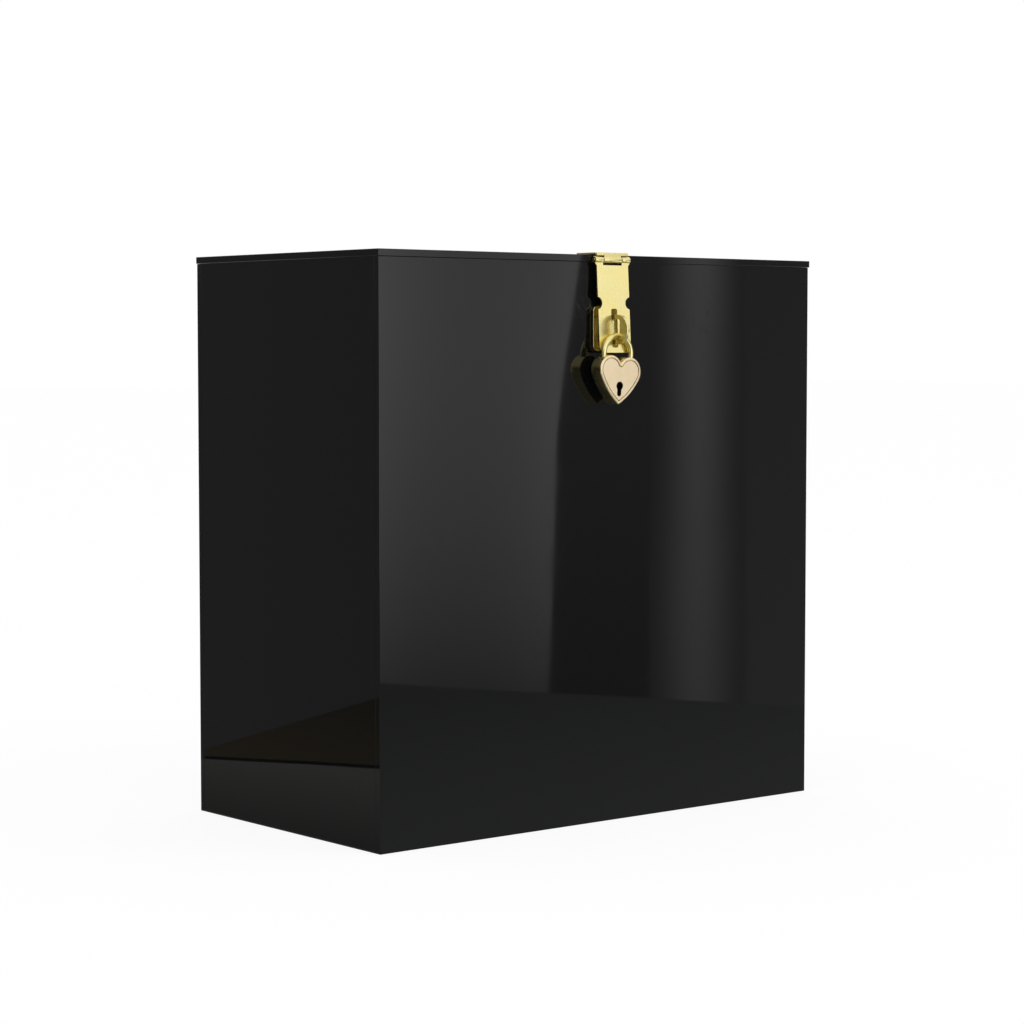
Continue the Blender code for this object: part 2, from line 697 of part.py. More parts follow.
def ear_outline():
    """The ear seen from the left, as a reach in front of the panel and a height."""
    low, high = ear_heights()
    radius = EAR_HEIGHT / 2
    centre = (EAR_REACH - radius, (low + high) / 2)
    root = SEAT_GAP + STAPLE_THICKNESS / 2
    quarter = math.pi / 2
    return [(root, high), (root, low)] + arc(centre, radius, -quarter, quarter, 16)


def ear_hole_outline():
    """The hole reaches just past the shackle's wire."""
    low, high = ear_heights()
    far = shackle_place()[0] + SHACKLE_WIRE_RADIUS + EAR_HOLE_CLEARANCE
    return rounded_rectangle(
        far - EAR_HOLE_DEPTH, far, low + EAR_WALL_BELOW, high - EAR_WALL_ABOVE, EAR_HOLE_CORNER, 3)


def build_staple(gold, holes):
    face_frame = frame_matrix((0.0, FRONT - SEAT_GAP - STAPLE_THICKNESS / 2, 0.0),
                              (1, 0, 0), (0, 0, 1), (0, -1, 0))
    low = staple_middle() - STAPLE_HEIGHT / 2
    high = staple_middle() + STAPLE_HEIGHT / 2
    outline = rounded_rectangle(-STAPLE_WIDTH / 2, STAPLE_WIDTH / 2, low, high, STAPLE_CORNER)
    staple = link_part(plate_object("staple", [outline], STAPLE_THICKNESS, face_frame), gold)
    ear_frame = frame_matrix((0.0, FRONT, 0.0), (0, -1, 0), (0, 0, 1), (-1, 0, 0))
    ear = plate_object("staple_ear", [ear_outline(), ear_hole_outline()], EAR_THICKNESS, ear_frame)
    boolean(staple, link_cutter(ear), "UNION")
    boolean(staple, holes)


# Padlock

def lock_frame():
    """Local X to the right, local Y to the back and local Z up the padlock, which hangs tilted."""
    forward, height = shackle_place()
    place = Matrix.Translation((LOCK_SIDE, FRONT - forward, height))
    return place @ Matrix.Rotation(LOCK_TILT, 4, "Y")


def lock_plate_frame(depth):
    """The lock's outline plane, at a depth along the lock's local Y."""
    turn = Matrix.Rotation(math.pi / 2, 4, "X")
    return lock_frame() @ Matrix.Translation((0.0, depth, 0.0)) @ turn


def heart_side_centre():
    """Centre of the long arc on the heart's right side, in the lock's frame."""
    swing = HEART_SIDE_RADIUS - HEART_LOBE_RADIUS
    lobe_x, lobe_z = heart_lobe_centre()
    return (lobe_x - swing * math.cos(HEART_SIDE_START), lobe_z + swing * math.sin(HEART_SIDE_START))


def heart_lobe_centre():
    return HEART_HALF_WIDTH - HEART_LOBE_RADIUS, -LOCK_TOP_DROP - HEART_LOBE_RADIUS


def heart_tip_height(inset=0.0):
    """Height of the rounded tip in the lock's frame."""
    side_x, side_z = heart_side_centre()
    round_tip = max(HEART_TIP_RADIUS - inset, 0.0)
    reach = HEART_SIDE_RADIUS - inset - round_tip
    return side_z - math.sqrt(reach ** 2 - side_x ** 2) - round_tip


def heart_outline(inset=0.0):
    """The heart, anticlockwise from the dip between its lobes, drawn in by an inset all round."""
    lobe = heart_lobe_centre()
    side = heart_side_centre()
    dip_z = lobe[1] + math.sqrt(HEART_LOBE_RADIUS ** 2 - lobe[0] ** 2)
    to_dip = math.atan2(dip_z - lobe[1], -lobe[0])
    right = []
    if inset > 0.0:
        right += arc((0.0, dip_z), inset, -math.pi / 2, to_dip - math.pi, 3)[:-1]
    right += arc(lobe, HEART_LOBE_RADIUS - inset, to_dip, -HEART_SIDE_START, 14)
    round_tip = max(HEART_TIP_RADIUS - inset, 0.0)
    tip_z = heart_tip_height(inset) + round_tip
    end = math.atan2(tip_z - side[1], -side[0])
    right += arc(side, HEART_SIDE_RADIUS - inset, -HEART_SIDE_START, end, 8)[1:]
    if round_tip > 0.0:
        right += arc((0.0, tip_z), round_tip, end, -math.pi / 2, 3)[1:]
    left = [(-x, z) for x, z in reversed(right[1:-1])]
    clockwise = right + left
    if inset == 0.0:
        clockwise = [(0.0, dip_z)] + right[1:] + left
    return list(reversed(clockwise))


def lock_box(name, low, high):
    """A box in the lock's frame."""
    block = box_object(name, low, high)
    block.matrix_world = lock_frame() @ block.matrix_world
    return block


def lock_cylinder(name, radius, x, top, bottom, segments=16):
    """An upright cylinder in the lock's frame, between two heights."""
    place = Matrix.Translation((x, 0.0, (top + bottom) / 2))
    return cylinder_object(name, radius, top - bottom, lock_frame() @ place, segments)


def shackle_heights():
    """Heights in the lock's frame: the toe's end, the heel's end and the case's top at the legs."""
    lobe_x, lobe_z = heart_lobe_centre()
    surface = lobe_z + math.sqrt(HEART_LOBE_RADIUS ** 2 - (SHACKLE_RADIUS - lobe_x) ** 2)
    return surface - SHACKLE_TOE_DEPTH, surface - SHACKLE_HEEL_DEPTH, surface


def build_shackle(steel):
    """A bent wire: the toe is on the left, the heel with its collar on the right."""
    toe, heel, _ = shackle_heights()
    centre = (0.0, -SHACKLE_RADIUS)
    points = [(-SHACKLE_RADIUS, 0.0, toe)]
    points += [(x, 0.0, z) for x, z in arc(centre, SHACKLE_RADIUS, math.pi, 0.0, 20)]
    points += [(SHACKLE_RADIUS, 0.0, heel)]
    shackle = link_part(
        wire_object("lock_shackle", points, SHACKLE_WIRE_RADIUS, 6, lock_frame()), steel)
    collar = lock_cylinder(
        "shackle_collar", SHACKLE_COLLAR_RADIUS, SHACKLE_RADIUS, heel + SHACKLE_COLLAR_HEIGHT, heel, 20)
    boolean(shackle, link_cutter(collar), "UNION")
    inner = -SHACKLE_RADIUS + SHACKLE_WIRE_RADIUS
    notch_low = toe + TOE_LIP
    notch = lock_box(
        "shackle_notch", (inner - NOTCH_DEPTH, -SHACKLE_COLLAR_RADIUS, notch_low),
        (inner + NOTCH_DEPTH, SHACKLE_COLLAR_RADIUS, notch_low + NOTCH_HEIGHT))
    boolean(shackle, link_cutter(notch))


def latch_nose_place():
    """The nose's tip, drawn back just clear of the toe, and its lower edge at the toe's notch."""
    toe, _, _ = shackle_heights()
    nose_tip = -SHACKLE_RADIUS + SHACKLE_WIRE_RADIUS + SEAT_GAP
    nose_low = toe + TOE_LIP + (NOTCH_HEIGHT - LATCH_NOSE_HEIGHT) / 2
    return nose_tip, nose_low


def build_case(gold):
    """The padlock's cup: back, walls and rim, with the shackle's bores and the latch's chamber."""
    half = LOCK_THICKNESS / 2
    case = link_part(
        plate_object("lock_case", [heart_outline()], LOCK_THICKNESS, lock_plate_frame(0.0)), gold)
    round_edges(case, LOCK_RIM_BEVEL, 2)

    recess = plate_object(
        "case_recess", [heart_outline(LOCK_RIM)], 2 * LOCK_RECESS, lock_plate_frame(-half))
    boolean(case, link_cutter(recess))
    chamber_front = -half + LOCK_RECESS - SEAT_GAP
    chamber_back = half - LOCK_BACK_WALL
    chamber = plate_object(
        "case_chamber", [heart_outline(LOCK_WALL)], chamber_back - chamber_front,
        lock_plate_frame((chamber_back + chamber_front) / 2))
    boolean(case, link_cutter(chamber))

    toe, heel, surface = shackle_heights()
    bore_radius = SHACKLE_WIRE_RADIUS + BORE_CLEARANCE
    for name, x, bottom in (("toe", -SHACKLE_RADIUS, toe), ("heel", SHACKLE_RADIUS, heel)):
        bore = lock_cylinder(
            f"case_{name}_bore", bore_radius, x, surface + CUT_MARGIN, bottom - BORE_CLEARANCE)
        boolean(case, link_cutter(bore))
    collar_bore = lock_cylinder(
        "case_collar_bore", SHACKLE_COLLAR_RADIUS + BORE_CLEARANCE, SHACKLE_RADIUS,
        heel + SHACKLE_COLLAR_HEIGHT + SHACKLE_TRAVEL + BORE_CLEARANCE, heel - BORE_CLEARANCE, 20)
    boolean(case, link_cutter(collar_bore))

    stop_low, stop_high, stop_x = spring_stop()
    stop = lock_box(
        "case_spring_stop", (stop_x, -SPRING_RADIUS, stop_low),
        (stop_x + SPRING_STOP_WIDTH, half - LOCK_BACK_WALL / 2, stop_high))
    boolean(case, link_cutter(stop), "UNION")
    post_x, post_z = latch_post_place()
    depth = half - LOCK_BACK_WALL - SEAT_GAP - LATCH_THICKNESS
    turn = Matrix.Translation((post_x, (depth + half - LOCK_BACK_WALL / 2) / 2, post_z))
    post = cylinder_object(
        "case_latch_post", LATCH_POST_RADIUS, half - LOCK_BACK_WALL / 2 - depth,
        lock_frame() @ turn @ Matrix.Rotation(math.pi / 2, 4, "X"), 12)
    boolean(case, link_cutter(post), "UNION")


def spring_axis_height():
    """The spring runs level, just under the heel's bore."""
    _, heel, _ = shackle_heights()
    return heel - BORE_CLEARANCE - SEAT_GAP - SPRING_STOP_HEIGHT / 2


def latch_tail_edge():
    """Right edge of the latch, where the spring pushes."""
    nose_tip, _ = latch_nose_place()
    return nose_tip + LATCH_NOSE_LENGTH + LATCH_WIDTH - LATCH_THICKNESS


def spring_stop():
    """Low height, high height and left face of the block that holds the spring's far end."""
    axis = spring_axis_height()
    left = latch_tail_edge() + SEAT_GAP + SPRING_LENGTH + SEAT_GAP
    return axis - SPRING_STOP_HEIGHT / 2, axis + SPRING_STOP_HEIGHT / 2, left


def latch_post_place():
    """Centre of the post that guides the latch, at the left end of the latch's slot."""
    nose_tip, nose_low = latch_nose_place()
    middle = (nose_tip + LATCH_NOSE_DEPTH + latch_tail_edge()) / 2
    return middle - LATCH_TRAVEL / 2, nose_low - LATCH_SHOULDER_DROP - LATCH_BODY_HEIGHT / 2


def build_latch(steel):
    """A sliding plate: the nose points at the toe, and the key turns against its lower edge."""
    nose_tip, nose_low = latch_nose_place()
    arm_right = nose_tip + LATCH_NOSE_LENGTH
    tail_right = latch_tail_edge()
    tail_left = tail_right - LATCH_TAIL_WIDTH
    nose_high = nose_low + LATCH_NOSE_HEIGHT
    nose_right = nose_tip + LATCH_NOSE_DEPTH
    shoulder = nose_low - LATCH_SHOULDER_DROP
    waist = shoulder - LATCH_BODY_HEIGHT
    tail_low = spring_axis_height() - SPRING_STOP_HEIGHT / 2
    outline = [(nose_tip, nose_high), (nose_tip, nose_low), (nose_right, nose_low), (nose_right, waist),
               (tail_left, waist), (tail_left, tail_low), (tail_right, tail_low),
               (tail_right, shoulder), (arm_right, shoulder), (arm_right, nose_high)]
    post_x, post_z = latch_post_place()
    play = LATCH_POST_RADIUS + SEAT_GAP
    guide = rounded_rectangle(
        post_x - play, post_x + LATCH_TRAVEL + play, post_z - play, post_z + play,
        play * GUIDE_CORNER_SHARE, 3)
    back = LOCK_THICKNESS / 2 - LOCK_BACK_WALL - SEAT_GAP
    depth = back - LATCH_THICKNESS / 2
    latch = link_part(
        plate_object("lock_latch", [outline, guide], LATCH_THICKNESS, lock_plate_frame(depth)), steel)
    nose_front = -LATCH_NOSE_DEPTH / 2
    nose = lock_box(
        "latch_nose", (nose_tip, nose_front, nose_low), (arm_right, back - LATCH_THICKNESS / 2, nose_high))
    boolean(latch, link_cutter(nose), "UNION")


def build_latch_spring(steel):
    start = latch_tail_edge() + SEAT_GAP
    height = spring_axis_height()
    back = LOCK_THICKNESS / 2 - LOCK_BACK_WALL - SEAT_GAP
    depth = back - SPRING_RADIUS - SPRING_WIRE_RADIUS
    steps = SPRING_TURNS * SPRING_POINTS_PER_TURN
    run = SPRING_LENGTH - 2 * SPRING_WIRE_RADIUS
    points = []
    for step in range(steps + 1):
        angle = 2 * math.pi * step / SPRING_POINTS_PER_TURN
        points.append((start + SPRING_WIRE_RADIUS + run * step / steps,
                       depth + SPRING_RADIUS * math.cos(angle),
                       height + SPRING_RADIUS * math.sin(angle)))
    link_part(wire_object("latch_spring", points, SPRING_WIRE_RADIUS, 1, lock_frame()), steel)


def build_cover(face_gold):
    """The flat front of the padlock, let into the rim, with the keyhole."""
    tip = heart_tip_height()
    centre = (0.0, tip + KEYHOLE_ABOVE_TIP)
    tail = KEYHOLE_TAIL_WIDTH / 2
    meet = math.asin(tail / KEYHOLE_RADIUS)
    keyhole = arc(centre, KEYHOLE_RADIUS, meet - math.pi / 2, 1.5 * math.pi - meet, 16)
    end = (0.0, tip + KEYHOLE_TAIL_ABOVE_TIP + tail)
    keyhole += arc(end, tail, math.pi, 2 * math.pi, 6)
    depth = -LOCK_THICKNESS / 2 + LOCK_RECESS - SEAT_GAP - LOCK_COVER_THICKNESS / 2
    outline = heart_outline(LOCK_RIM + SEAT_GAP)
    link_part(
        plate_object("lock_cover", [outline, keyhole], LOCK_COVER_THICKNESS, lock_plate_frame(depth)),
        face_gold)


# Joint axes

def axis_mark(name, place, parent=None):
    """An empty on a joint's axis."""
    mark = bpy.data.objects.new(name, None)
    mark.empty_display_size = AXIS_MARK_SIZE
    bpy.data.collections[PARTS_NAME].objects.link(mark)
    mark.matrix_world = Matrix.Translation(place)
    if parent:
        parent_at_place(mark, parent)
    return mark


def parent_at_place(obj, parent):
    """Parent an object without moving it."""
    obj.parent = parent
    obj.matrix_parent_inverse = parent.matrix_world.inverted()


def parent_moving_pieces():
    """The lid and what it carries turn on the back hinges, the strap on its pin, the lock on the ear."""
    axis_y, axis_z = back_hinge_axis()
    lid_axis = axis_mark("lid_axis", (0.0, axis_y, axis_z))
    strap_axis = axis_mark("strap_axis", hasp_axis(), lid_axis)
    padlock_axis = axis_mark("padlock_axis", lock_frame().translation)
    for piece in list(bpy.data.collections[PARTS_NAME].objects):
        if piece.name.startswith(LID_PIECES):
            parent_at_place(piece, lid_axis)
        if piece.name == "hasp_strap":
            parent_at_place(piece, strap_axis)
        if piece.name.startswith(("lock_", "latch_")):
            parent_at_place(piece, padlock_axis)


def main():
    start_scene()
    acrylic = make_material("black_acrylic", (0.012, 0.012, 0.013), 0.04, 0.0)
    gold = make_material("polished_gold", (0.86, 0.70, 0.36), 0.16, 1.0)
    face_gold = make_material("pale_gold", (0.88, 0.76, 0.60), 0.30, 1.0)
    steel = make_material("plated_steel", (0.62, 0.60, 0.56), 0.30, 1.0)

    lid_places, wall_places = hinge_screw_places()
    lid_holes = screws_and_nuts("hinge_lid", lid_places, (0, 0, -1), HINGE_LEAF_THICKNESS, gold)
    wall_holes = screws_and_nuts("hinge_wall", wall_places, (0, -1, 0), HINGE_LEAF_THICKNESS, gold)
    leaf_holes = screws_and_nuts(
        "hasp_leaf", hasp_leaf_screw_places(), (0, 0, -1), HASP_LEAF_THICKNESS, gold)
    staple_holes = screws_and_nuts("staple", staple_screw_places(), (0, 1, 0), STAPLE_THICKNESS, gold)

    build_panels(acrylic, wall_holes, staple_holes)
    build_lid(acrylic, lid_holes, leaf_holes)
    build_back_hinges(gold, lid_holes, wall_holes)
    build_hasp_leaf(gold, leaf_holes)
    build_strap(gold)
    build_staple(gold, staple_holes)
    build_shackle(gold)
    build_case(gold)
    build_cover(face_gold)
    build_latch(steel)
    build_latch_spring(steel)
    bpy.context.view_layer.update()
    parent_moving_pieces()
    bpy.context.view_layer.update()


main()
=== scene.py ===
"""Looks and stage of an upright card box: black acrylic sheet, a gold hasp and a small heart padlock.

The origin is the bottom centre of the box, the front looks along -Y, and all sizes are metres.
Each operator makes one piece, or one group of like pieces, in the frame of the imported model.
"""

import math

import bmesh
import bpy
from bpy.props import FloatProperty, FloatVectorProperty, PointerProperty
from mathutils import Matrix, Vector


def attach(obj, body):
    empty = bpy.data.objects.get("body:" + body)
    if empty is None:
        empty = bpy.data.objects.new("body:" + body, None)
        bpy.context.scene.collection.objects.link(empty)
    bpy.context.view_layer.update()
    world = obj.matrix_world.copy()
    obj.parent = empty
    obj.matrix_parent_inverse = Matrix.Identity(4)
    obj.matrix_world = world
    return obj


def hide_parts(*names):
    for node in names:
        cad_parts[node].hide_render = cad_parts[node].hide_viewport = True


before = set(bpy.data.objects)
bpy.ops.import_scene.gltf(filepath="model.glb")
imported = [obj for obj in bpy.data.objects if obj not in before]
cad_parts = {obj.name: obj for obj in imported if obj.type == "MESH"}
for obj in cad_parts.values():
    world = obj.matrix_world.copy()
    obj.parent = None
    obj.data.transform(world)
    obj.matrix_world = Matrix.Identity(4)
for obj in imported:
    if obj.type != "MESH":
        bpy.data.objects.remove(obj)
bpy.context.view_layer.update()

bl_info = {
    "name": "Acrylic card box",
    "version": (1, 0, 0),
    "blender": (4, 5, 0),
    "location": "View3D > Sidebar > Card Box",
    "description": "Makes the pieces, the finishes and the stage of an acrylic card box",
    "category": "Object",
}

MM = 0.001

# Box
BOX_WIDTH = 254.0 * MM
BOX_DEPTH = 138.5 * MM
BOX_HEIGHT = 254.0 * MM
SHEET = 3.0 * MM
LID_OVERHANG = 0.5 * MM
EDGE_ROUND = 0.15 * MM
SHEET_SEAM = 0.03 * MM
LID_SEAM = 0.08 * MM
SEAT_GAP = 0.3 * MM
CARD_SLOT_LENGTH = 200.0 * MM
CARD_SLOT_WIDTH = 15.0 * MM
CARD_SLOT_CORNER = 3.0 * MM

# Screws and nuts
SCREW_RADIUS = 0.95 * MM
SCREW_HEAD_RADIUS = 1.8 * MM
SCREW_HEAD_SINK = 0.06 * MM
SCREW_TIP = 0.6 * MM
SCREW_TIP_TAPER = 0.25 * MM
SCREW_DRIVE_WIDTH = 0.45 * MM
SCREW_DRIVE_DEPTH = 0.35 * MM
SCREW_DRIVE_TAPER = 0.72
SCREW_CLEARANCE = 0.25 * MM
HEAD_CLEARANCE = 0.12 * MM
NUT_RADIUS = 2.3 * MM
NUT_HEIGHT = 1.6 * MM
NUT_ROUND = 0.2 * MM

# Hinge barrels, shared by the back hinges and the hasp
PIN_CLEARANCE = 0.15 * MM
KNUCKLE_GAP = 0.3 * MM
KNUCKLE_ROUND = 0.14 * MM
PIN_END_ROUND = 0.3 * MM
LEAF_INSET = 0.05 * MM
NECK_INSET = 0.1 * MM
LEAF_CORNER = 1.2 * MM
HARDWARE_ROUND = 0.15 * MM

# Back hinges
HINGE_SPREAD = 92.0 * MM
HINGE_WIDTH = 25.0 * MM
HINGE_LEAF_LENGTH = 16.0 * MM
HINGE_LEAF_THICKNESS = 0.9 * MM
HINGE_BARREL_RADIUS = 1.9 * MM
HINGE_PIN_RADIUS = 0.85 * MM
HINGE_MIDDLE_KNUCKLE = 8.6 * MM
HINGE_SCREW_SPREAD = 15.0 * MM
HINGE_SCREW_REACH = 10.5 * MM

# Hasp
HASP_BARREL_RADIUS = 1.5 * MM
HASP_PIN_RADIUS = 0.7 * MM
HASP_BARREL_GAP = 0.3 * MM
HASP_BARREL_DROP = 1.85 * MM
HASP_BARREL_WIDTH = 20.4 * MM
HASP_MIDDLE_KNUCKLE = 10.4 * MM
HASP_LEAF_WIDTH = 19.0 * MM
HASP_LEAF_LENGTH = 13.5 * MM
HASP_LEAF_THICKNESS = 0.8 * MM
HASP_LEAF_SCREW_SPREAD = 11.0 * MM
HASP_LEAF_SCREW_REACH = 8.6 * MM
HASP_BEND_FORWARD = 1.1 * MM
HASP_BEND_BACK = 0.3 * MM
HASP_BEND_CORNER = 0.4 * MM
HASP_LIP_LIFT = 0.3 * MM
STRAP_WIDTH = 18.6 * MM
STRAP_THICKNESS = 1.0 * MM
STRAP_PROUD = 0.75 * MM
STRAP_TILT = math.radians(3.3)
STRAP_SHOULDER = 2.7 * MM
STRAP_WINDOW_DEPTH = 2.4 * MM
STRAP_END_CORNER = 3.0 * MM
STRAP_WAIST_REACH = 19.25 * MM
STRAP_WAIST_RADIUS = 2.7 * MM
STRAP_WAIST_DEPTH = 2.4 * MM
STRAP_SLOT_CORNER = 0.8 * MM
STRAP_END_WALL = 2.4 * MM
SLOT_BESIDE_EAR = 0.95 * MM
SLOT_ABOVE_EAR = 2.45 * MM
SLOT_BELOW_EAR = 0.9 * MM

# Staple on the front panel
STAPLE_BELOW_PIN = 30.3 * MM
STAPLE_WIDTH = 19.0 * MM
STAPLE_HEIGHT = 20.0 * MM
STAPLE_THICKNESS = 0.9 * MM
STAPLE_CORNER = 2.5 * MM
STAPLE_SCREW_SPREAD = 12.4 * MM
EAR_THICKNESS = 1.5 * MM
EAR_REACH = 13.8 * MM
EAR_HEIGHT = 13.4 * MM
EAR_LOWERED = 0.6 * MM
EAR_WALL_BELOW = 2.4 * MM
EAR_WALL_ABOVE = 2.1 * MM
EAR_HOLE_DEPTH = 5.0 * MM
EAR_HOLE_CLEARANCE = 0.4 * MM
EAR_HOLE_CORNER = 0.9 * MM

# Padlock, in its own frame: the origin is the middle of the shackle's wire at the top of the arch
LOCK_SIDE = 0.3 * MM
LOCK_TILT = math.radians(5.5)
SHACKLE_WIRE_RADIUS = 1.25 * MM
SHACKLE_RADIUS = 7.95 * MM
SHACKLE_TOE_DEPTH = 4.1 * MM
SHACKLE_HEEL_DEPTH = 8.7 * MM
SHACKLE_END_ROUND = 0.3 * MM
SHACKLE_COLLAR_RADIUS = 1.7 * MM
SHACKLE_COLLAR_HEIGHT = 0.6 * MM
BORE_CLEARANCE = 0.3 * MM
BORE_RISE = 5.0 * MM
LOCK_TOP_DROP = 9.1 * MM
LOCK_THICKNESS = 6.8 * MM
LOCK_RIM = 1.2 * MM
LOCK_RIM_BEVEL = 0.6 * MM
LOCK_RECESS = 1.0 * MM
LOCK_WALL = 2.0 * MM
LOCK_BACK_WALL = 1.0 * MM
LOCK_COVER_THICKNESS = 0.6 * MM
HEART_HALF_WIDTH = 12.0 * MM
HEART_LOBE_RADIUS = 6.4 * MM
HEART_SIDE_RADIUS = 34.0 * MM
HEART_SIDE_START = math.radians(29.0)
HEART_TIP_RADIUS = 1.0 * MM
KEYHOLE_RADIUS = 1.9 * MM
KEYHOLE_ABOVE_TIP = 8.1 * MM
KEYHOLE_TAIL_WIDTH = 2.4 * MM
KEYHOLE_TAIL_ABOVE_TIP = 3.5 * MM
NOTCH_HEIGHT = 1.4 * MM
TOE_LIP = 0.5 * MM
NOTCH_SLOPE = 0.02 * MM

# Modelling
WELD_DISTANCE = 0.001 * MM
RING_DISTANCE = 0.01 * MM
CORNER_ANGLE = math.radians(60)
SMOOTH_ANGLE = math.radians(35)
# Faces of the padlock's rim that face forward at least this much get the painted highlight
FLAT_FACE = 0.9999
RIM_HIGHLIGHT_FACING = 0.3
QUARTER = math.pi / 2
ALONG_X = Matrix.Rotation(QUARTER, 4, "Y")

# Steps in which arcs are drawn
ROUND_SEGMENTS = 3
CORNER_STEPS = 5
FINE_CORNER_STEPS = 8
HOLE_STEPS = 24
BARREL_STEPS = 32
WAIST_STEPS = 14
EAR_STEPS = 32
EAR_HOLE_STEPS = 6
ARCH_STEPS = 40
HEART_DIP_STEPS = 4
HEART_LOBE_STEPS = 26
HEART_SIDE_STEPS = 12
KEYHOLE_STEPS = 18
KEYHOLE_TAIL_STEPS = 6

# Places worked out from the sizes above
FRONT = -BOX_DEPTH / 2
BACK = BOX_DEPTH / 2
SIDE = BOX_WIDTH / 2
WALL_TOP = BOX_HEIGHT - SHEET - LID_SEAM
HASP_AXIS_FORWARD = LID_OVERHANG + HASP_BARREL_GAP + HASP_BARREL_RADIUS

# Camera
CAMERA_PLACE = (-0.78084, -0.951609, 0.212522)
CAMERA_TURN = math.radians(-39.4306)
CAMERA_DROP = math.radians(3.55)
CAMERA_LENS = 92.623
CAMERA_SENSOR = 36.0

# Gloss of the acrylic, and heights of the finishes' relief
ACRYLIC_IOR = 1.49
WAVE_HEIGHT = 0.02 * MM
SCRATCH_DEPTH = 0.002 * MM
GRAIN_HEIGHT = 0.004 * MM
FACE_GRAIN_HEIGHT = 0.006 * MM
PIT_DEPTH = 0.03 * MM

# Places of the cards that the gloss sees, in metres, and the light card's curves over height
CARD_DISTANCE = -2.5
CARD_GAP = 0.01
CARD_LIFT = 0.0005
CARDS_BOTTOM = -0.65
CARDS_TOP = 0.385
CARDS_LEFT = -1.2
CARDS_RIGHT = 3.4
LIGHT_CARD_LEFT = 1.62
LIGHT_CARD_EDGE = (2.038, 0.041, 0.275)
LIGHT_CARD_STEPS = 24
LIGHT_CARD_DIP = (1.86, 0.1, 10.0)
LIGHT_CARD_LEVEL = (0.70, 0.75, -1.3)
BAND_MIDDLE = 2.362
BAND_HALF = 0.114
RIGHT_CARD_LEFT = 2.45
HIGH_CARD_BOTTOM = 0.392
HIGH_CARD_TOP = 1.1
TABLE_CORNERS = ((-0.25, -1.41), (0.758, 0.516), (0.255, 0.961), (-0.78, -0.744))
TABLE_NEAR_CORNERS = ((-0.1275, -0.0688), (-0.1275, 0.3306), (-0.37, -0.0688))
# A thin strip along the table's rear edge, for its painted shadow line
TABLE_RIM_SHADOW_CORNERS = ((-0.2154, 0.2034), (-0.2676, 0.12), (-0.2609, 0.111), (-0.2099, 0.1949))
WEDGE_CORNERS = ((-0.2304, 0.2267), (-0.4264, 0.3343), (-0.2609, 0.111), (-0.2099, 0.1949))

# Looks of the cards: colour, axis, two places along it and the strengths there
WHITE = (1.0, 1.0, 1.0)
COOL_WHITE = (0.98, 0.98, 1.0)
DIM_CARD_LOOK = (COOL_WHITE, 2, -0.5, 0.363, 0.09, 0.22)
RIGHT_CARD_LOOK = (COOL_WHITE, 2, -0.5, 0.363, 0.29, 0.23)
HIGH_CARD_LOOK = (WHITE, 2, HIGH_CARD_BOTTOM, HIGH_CARD_TOP, 1.26, 1.26)
SIDE_CARD_LOOK = (WHITE, 2, -1.0, 1.0, 1.7, 1.7)
TABLE_LOOK = ((0.98, 1.0, 0.98), 1, -0.45, -0.08, 0.2, 0.3)
# The near table card dims towards the box's left face: the table's reflection with a painted shadow.
TABLE_NEAR_SHADOW_LOOK = ((0.98, 1.0, 0.94), 0, -0.24, -0.1275, 0.26, 0.135)
# Near-black strip along the table's rear edge: a painted shadow line.
TABLE_RIM_SHADOW_LOOK = ((1.0, 0.9, 0.7), 0, -1.0, 1.0, 0.01, 0.01)
WEDGE_LOOK = ((1.0, 0.8, 0.5), 0, -0.42, -0.21, 0.07, 0.13)

# The soft band: two heights and the strengths there, and its strength at the sides
BAND_LEVEL = (-0.6, 0.38, 0.42, 0.79)
BAND_EDGE_STRENGTH = 0.2

# The surround in reflections: two heights of the view and the levels there
SURROUND_ABOVE = (0.14, 0.36, 0.13, 1.0)
SURROUND_BELOW = (-0.2, -0.3, 0.0, 1.1)

# Floor and lamps
FLOOR_REACH = 12.0
FLOOR_DROP = 0.1 * MM
FLOOR_GLOW = 1.08
FLOOR_GLOW_SHARE = 0.82
KEY_LAMP = {"place": (1.4, -1.7, 1.0), "target": (0.0, 0.0, 0.2), "width": 1.0, "height": 0.8}
FILL_LAMP = {"place": (-1.6, -0.9, 1.5), "target": (0.0, 0.0, 0.1), "width": 0.8, "height": 0.8}

FINISH_NAMES = {
    "acrylic": "black_acrylic",
    "gold": "gold_plate",
    "pale_gold": "pale_gold_face",
    "steel": "plated_steel",
    # The inside finish is near-black painted shade for the padlock's chamber and bores.
    "inside": "painted_shade_inside",
}

# Finishes of the padlock's case, its main one first. The inside one is painted shade, and the pale one also
# paints a highlight on the rim's front.
CASE_FINISHES = ("gold", "inside", "pale_gold")


# Properties

def length_property(name, description, default):
    return FloatProperty(
        name=name, description=description, default=default, min=0.0, precision=5,
        subtype="DISTANCE", unit="LENGTH")


def share_property(name, description, default):
    return FloatProperty(
        name=name, description=description, default=default, min=0.0, max=1.0, subtype="FACTOR")


def power_property(name, description, default):
    return FloatProperty(
        name=name, description=description, default=default, min=0.0, subtype="POWER", unit="POWER")


def colour_property(name, description, default):
    return FloatVectorProperty(
        name=name, description=description, default=default, size=3, min=0.0, max=1.0, subtype="COLOR")


class CardBoxSizes(bpy.types.PropertyGroup):
    """Sizes of the acrylic box and its lid."""

    sheet: length_property("Sheet", "Thickness of the acrylic sheet", SHEET)
    edge_round: length_property("Edge round", "Round on the sheet's polished edges", EDGE_ROUND)
    seam: length_property("Seam", "Width of the glued seam between two sheets", SHEET_SEAM)
    slot_length: length_property("Slot length", "Length of the card slot", CARD_SLOT_LENGTH)
    slot_width: length_property("Slot width", "Width of the card slot", CARD_SLOT_WIDTH)
    slot_corner: length_property("Slot corner", "Corner radius of the card slot", CARD_SLOT_CORNER)


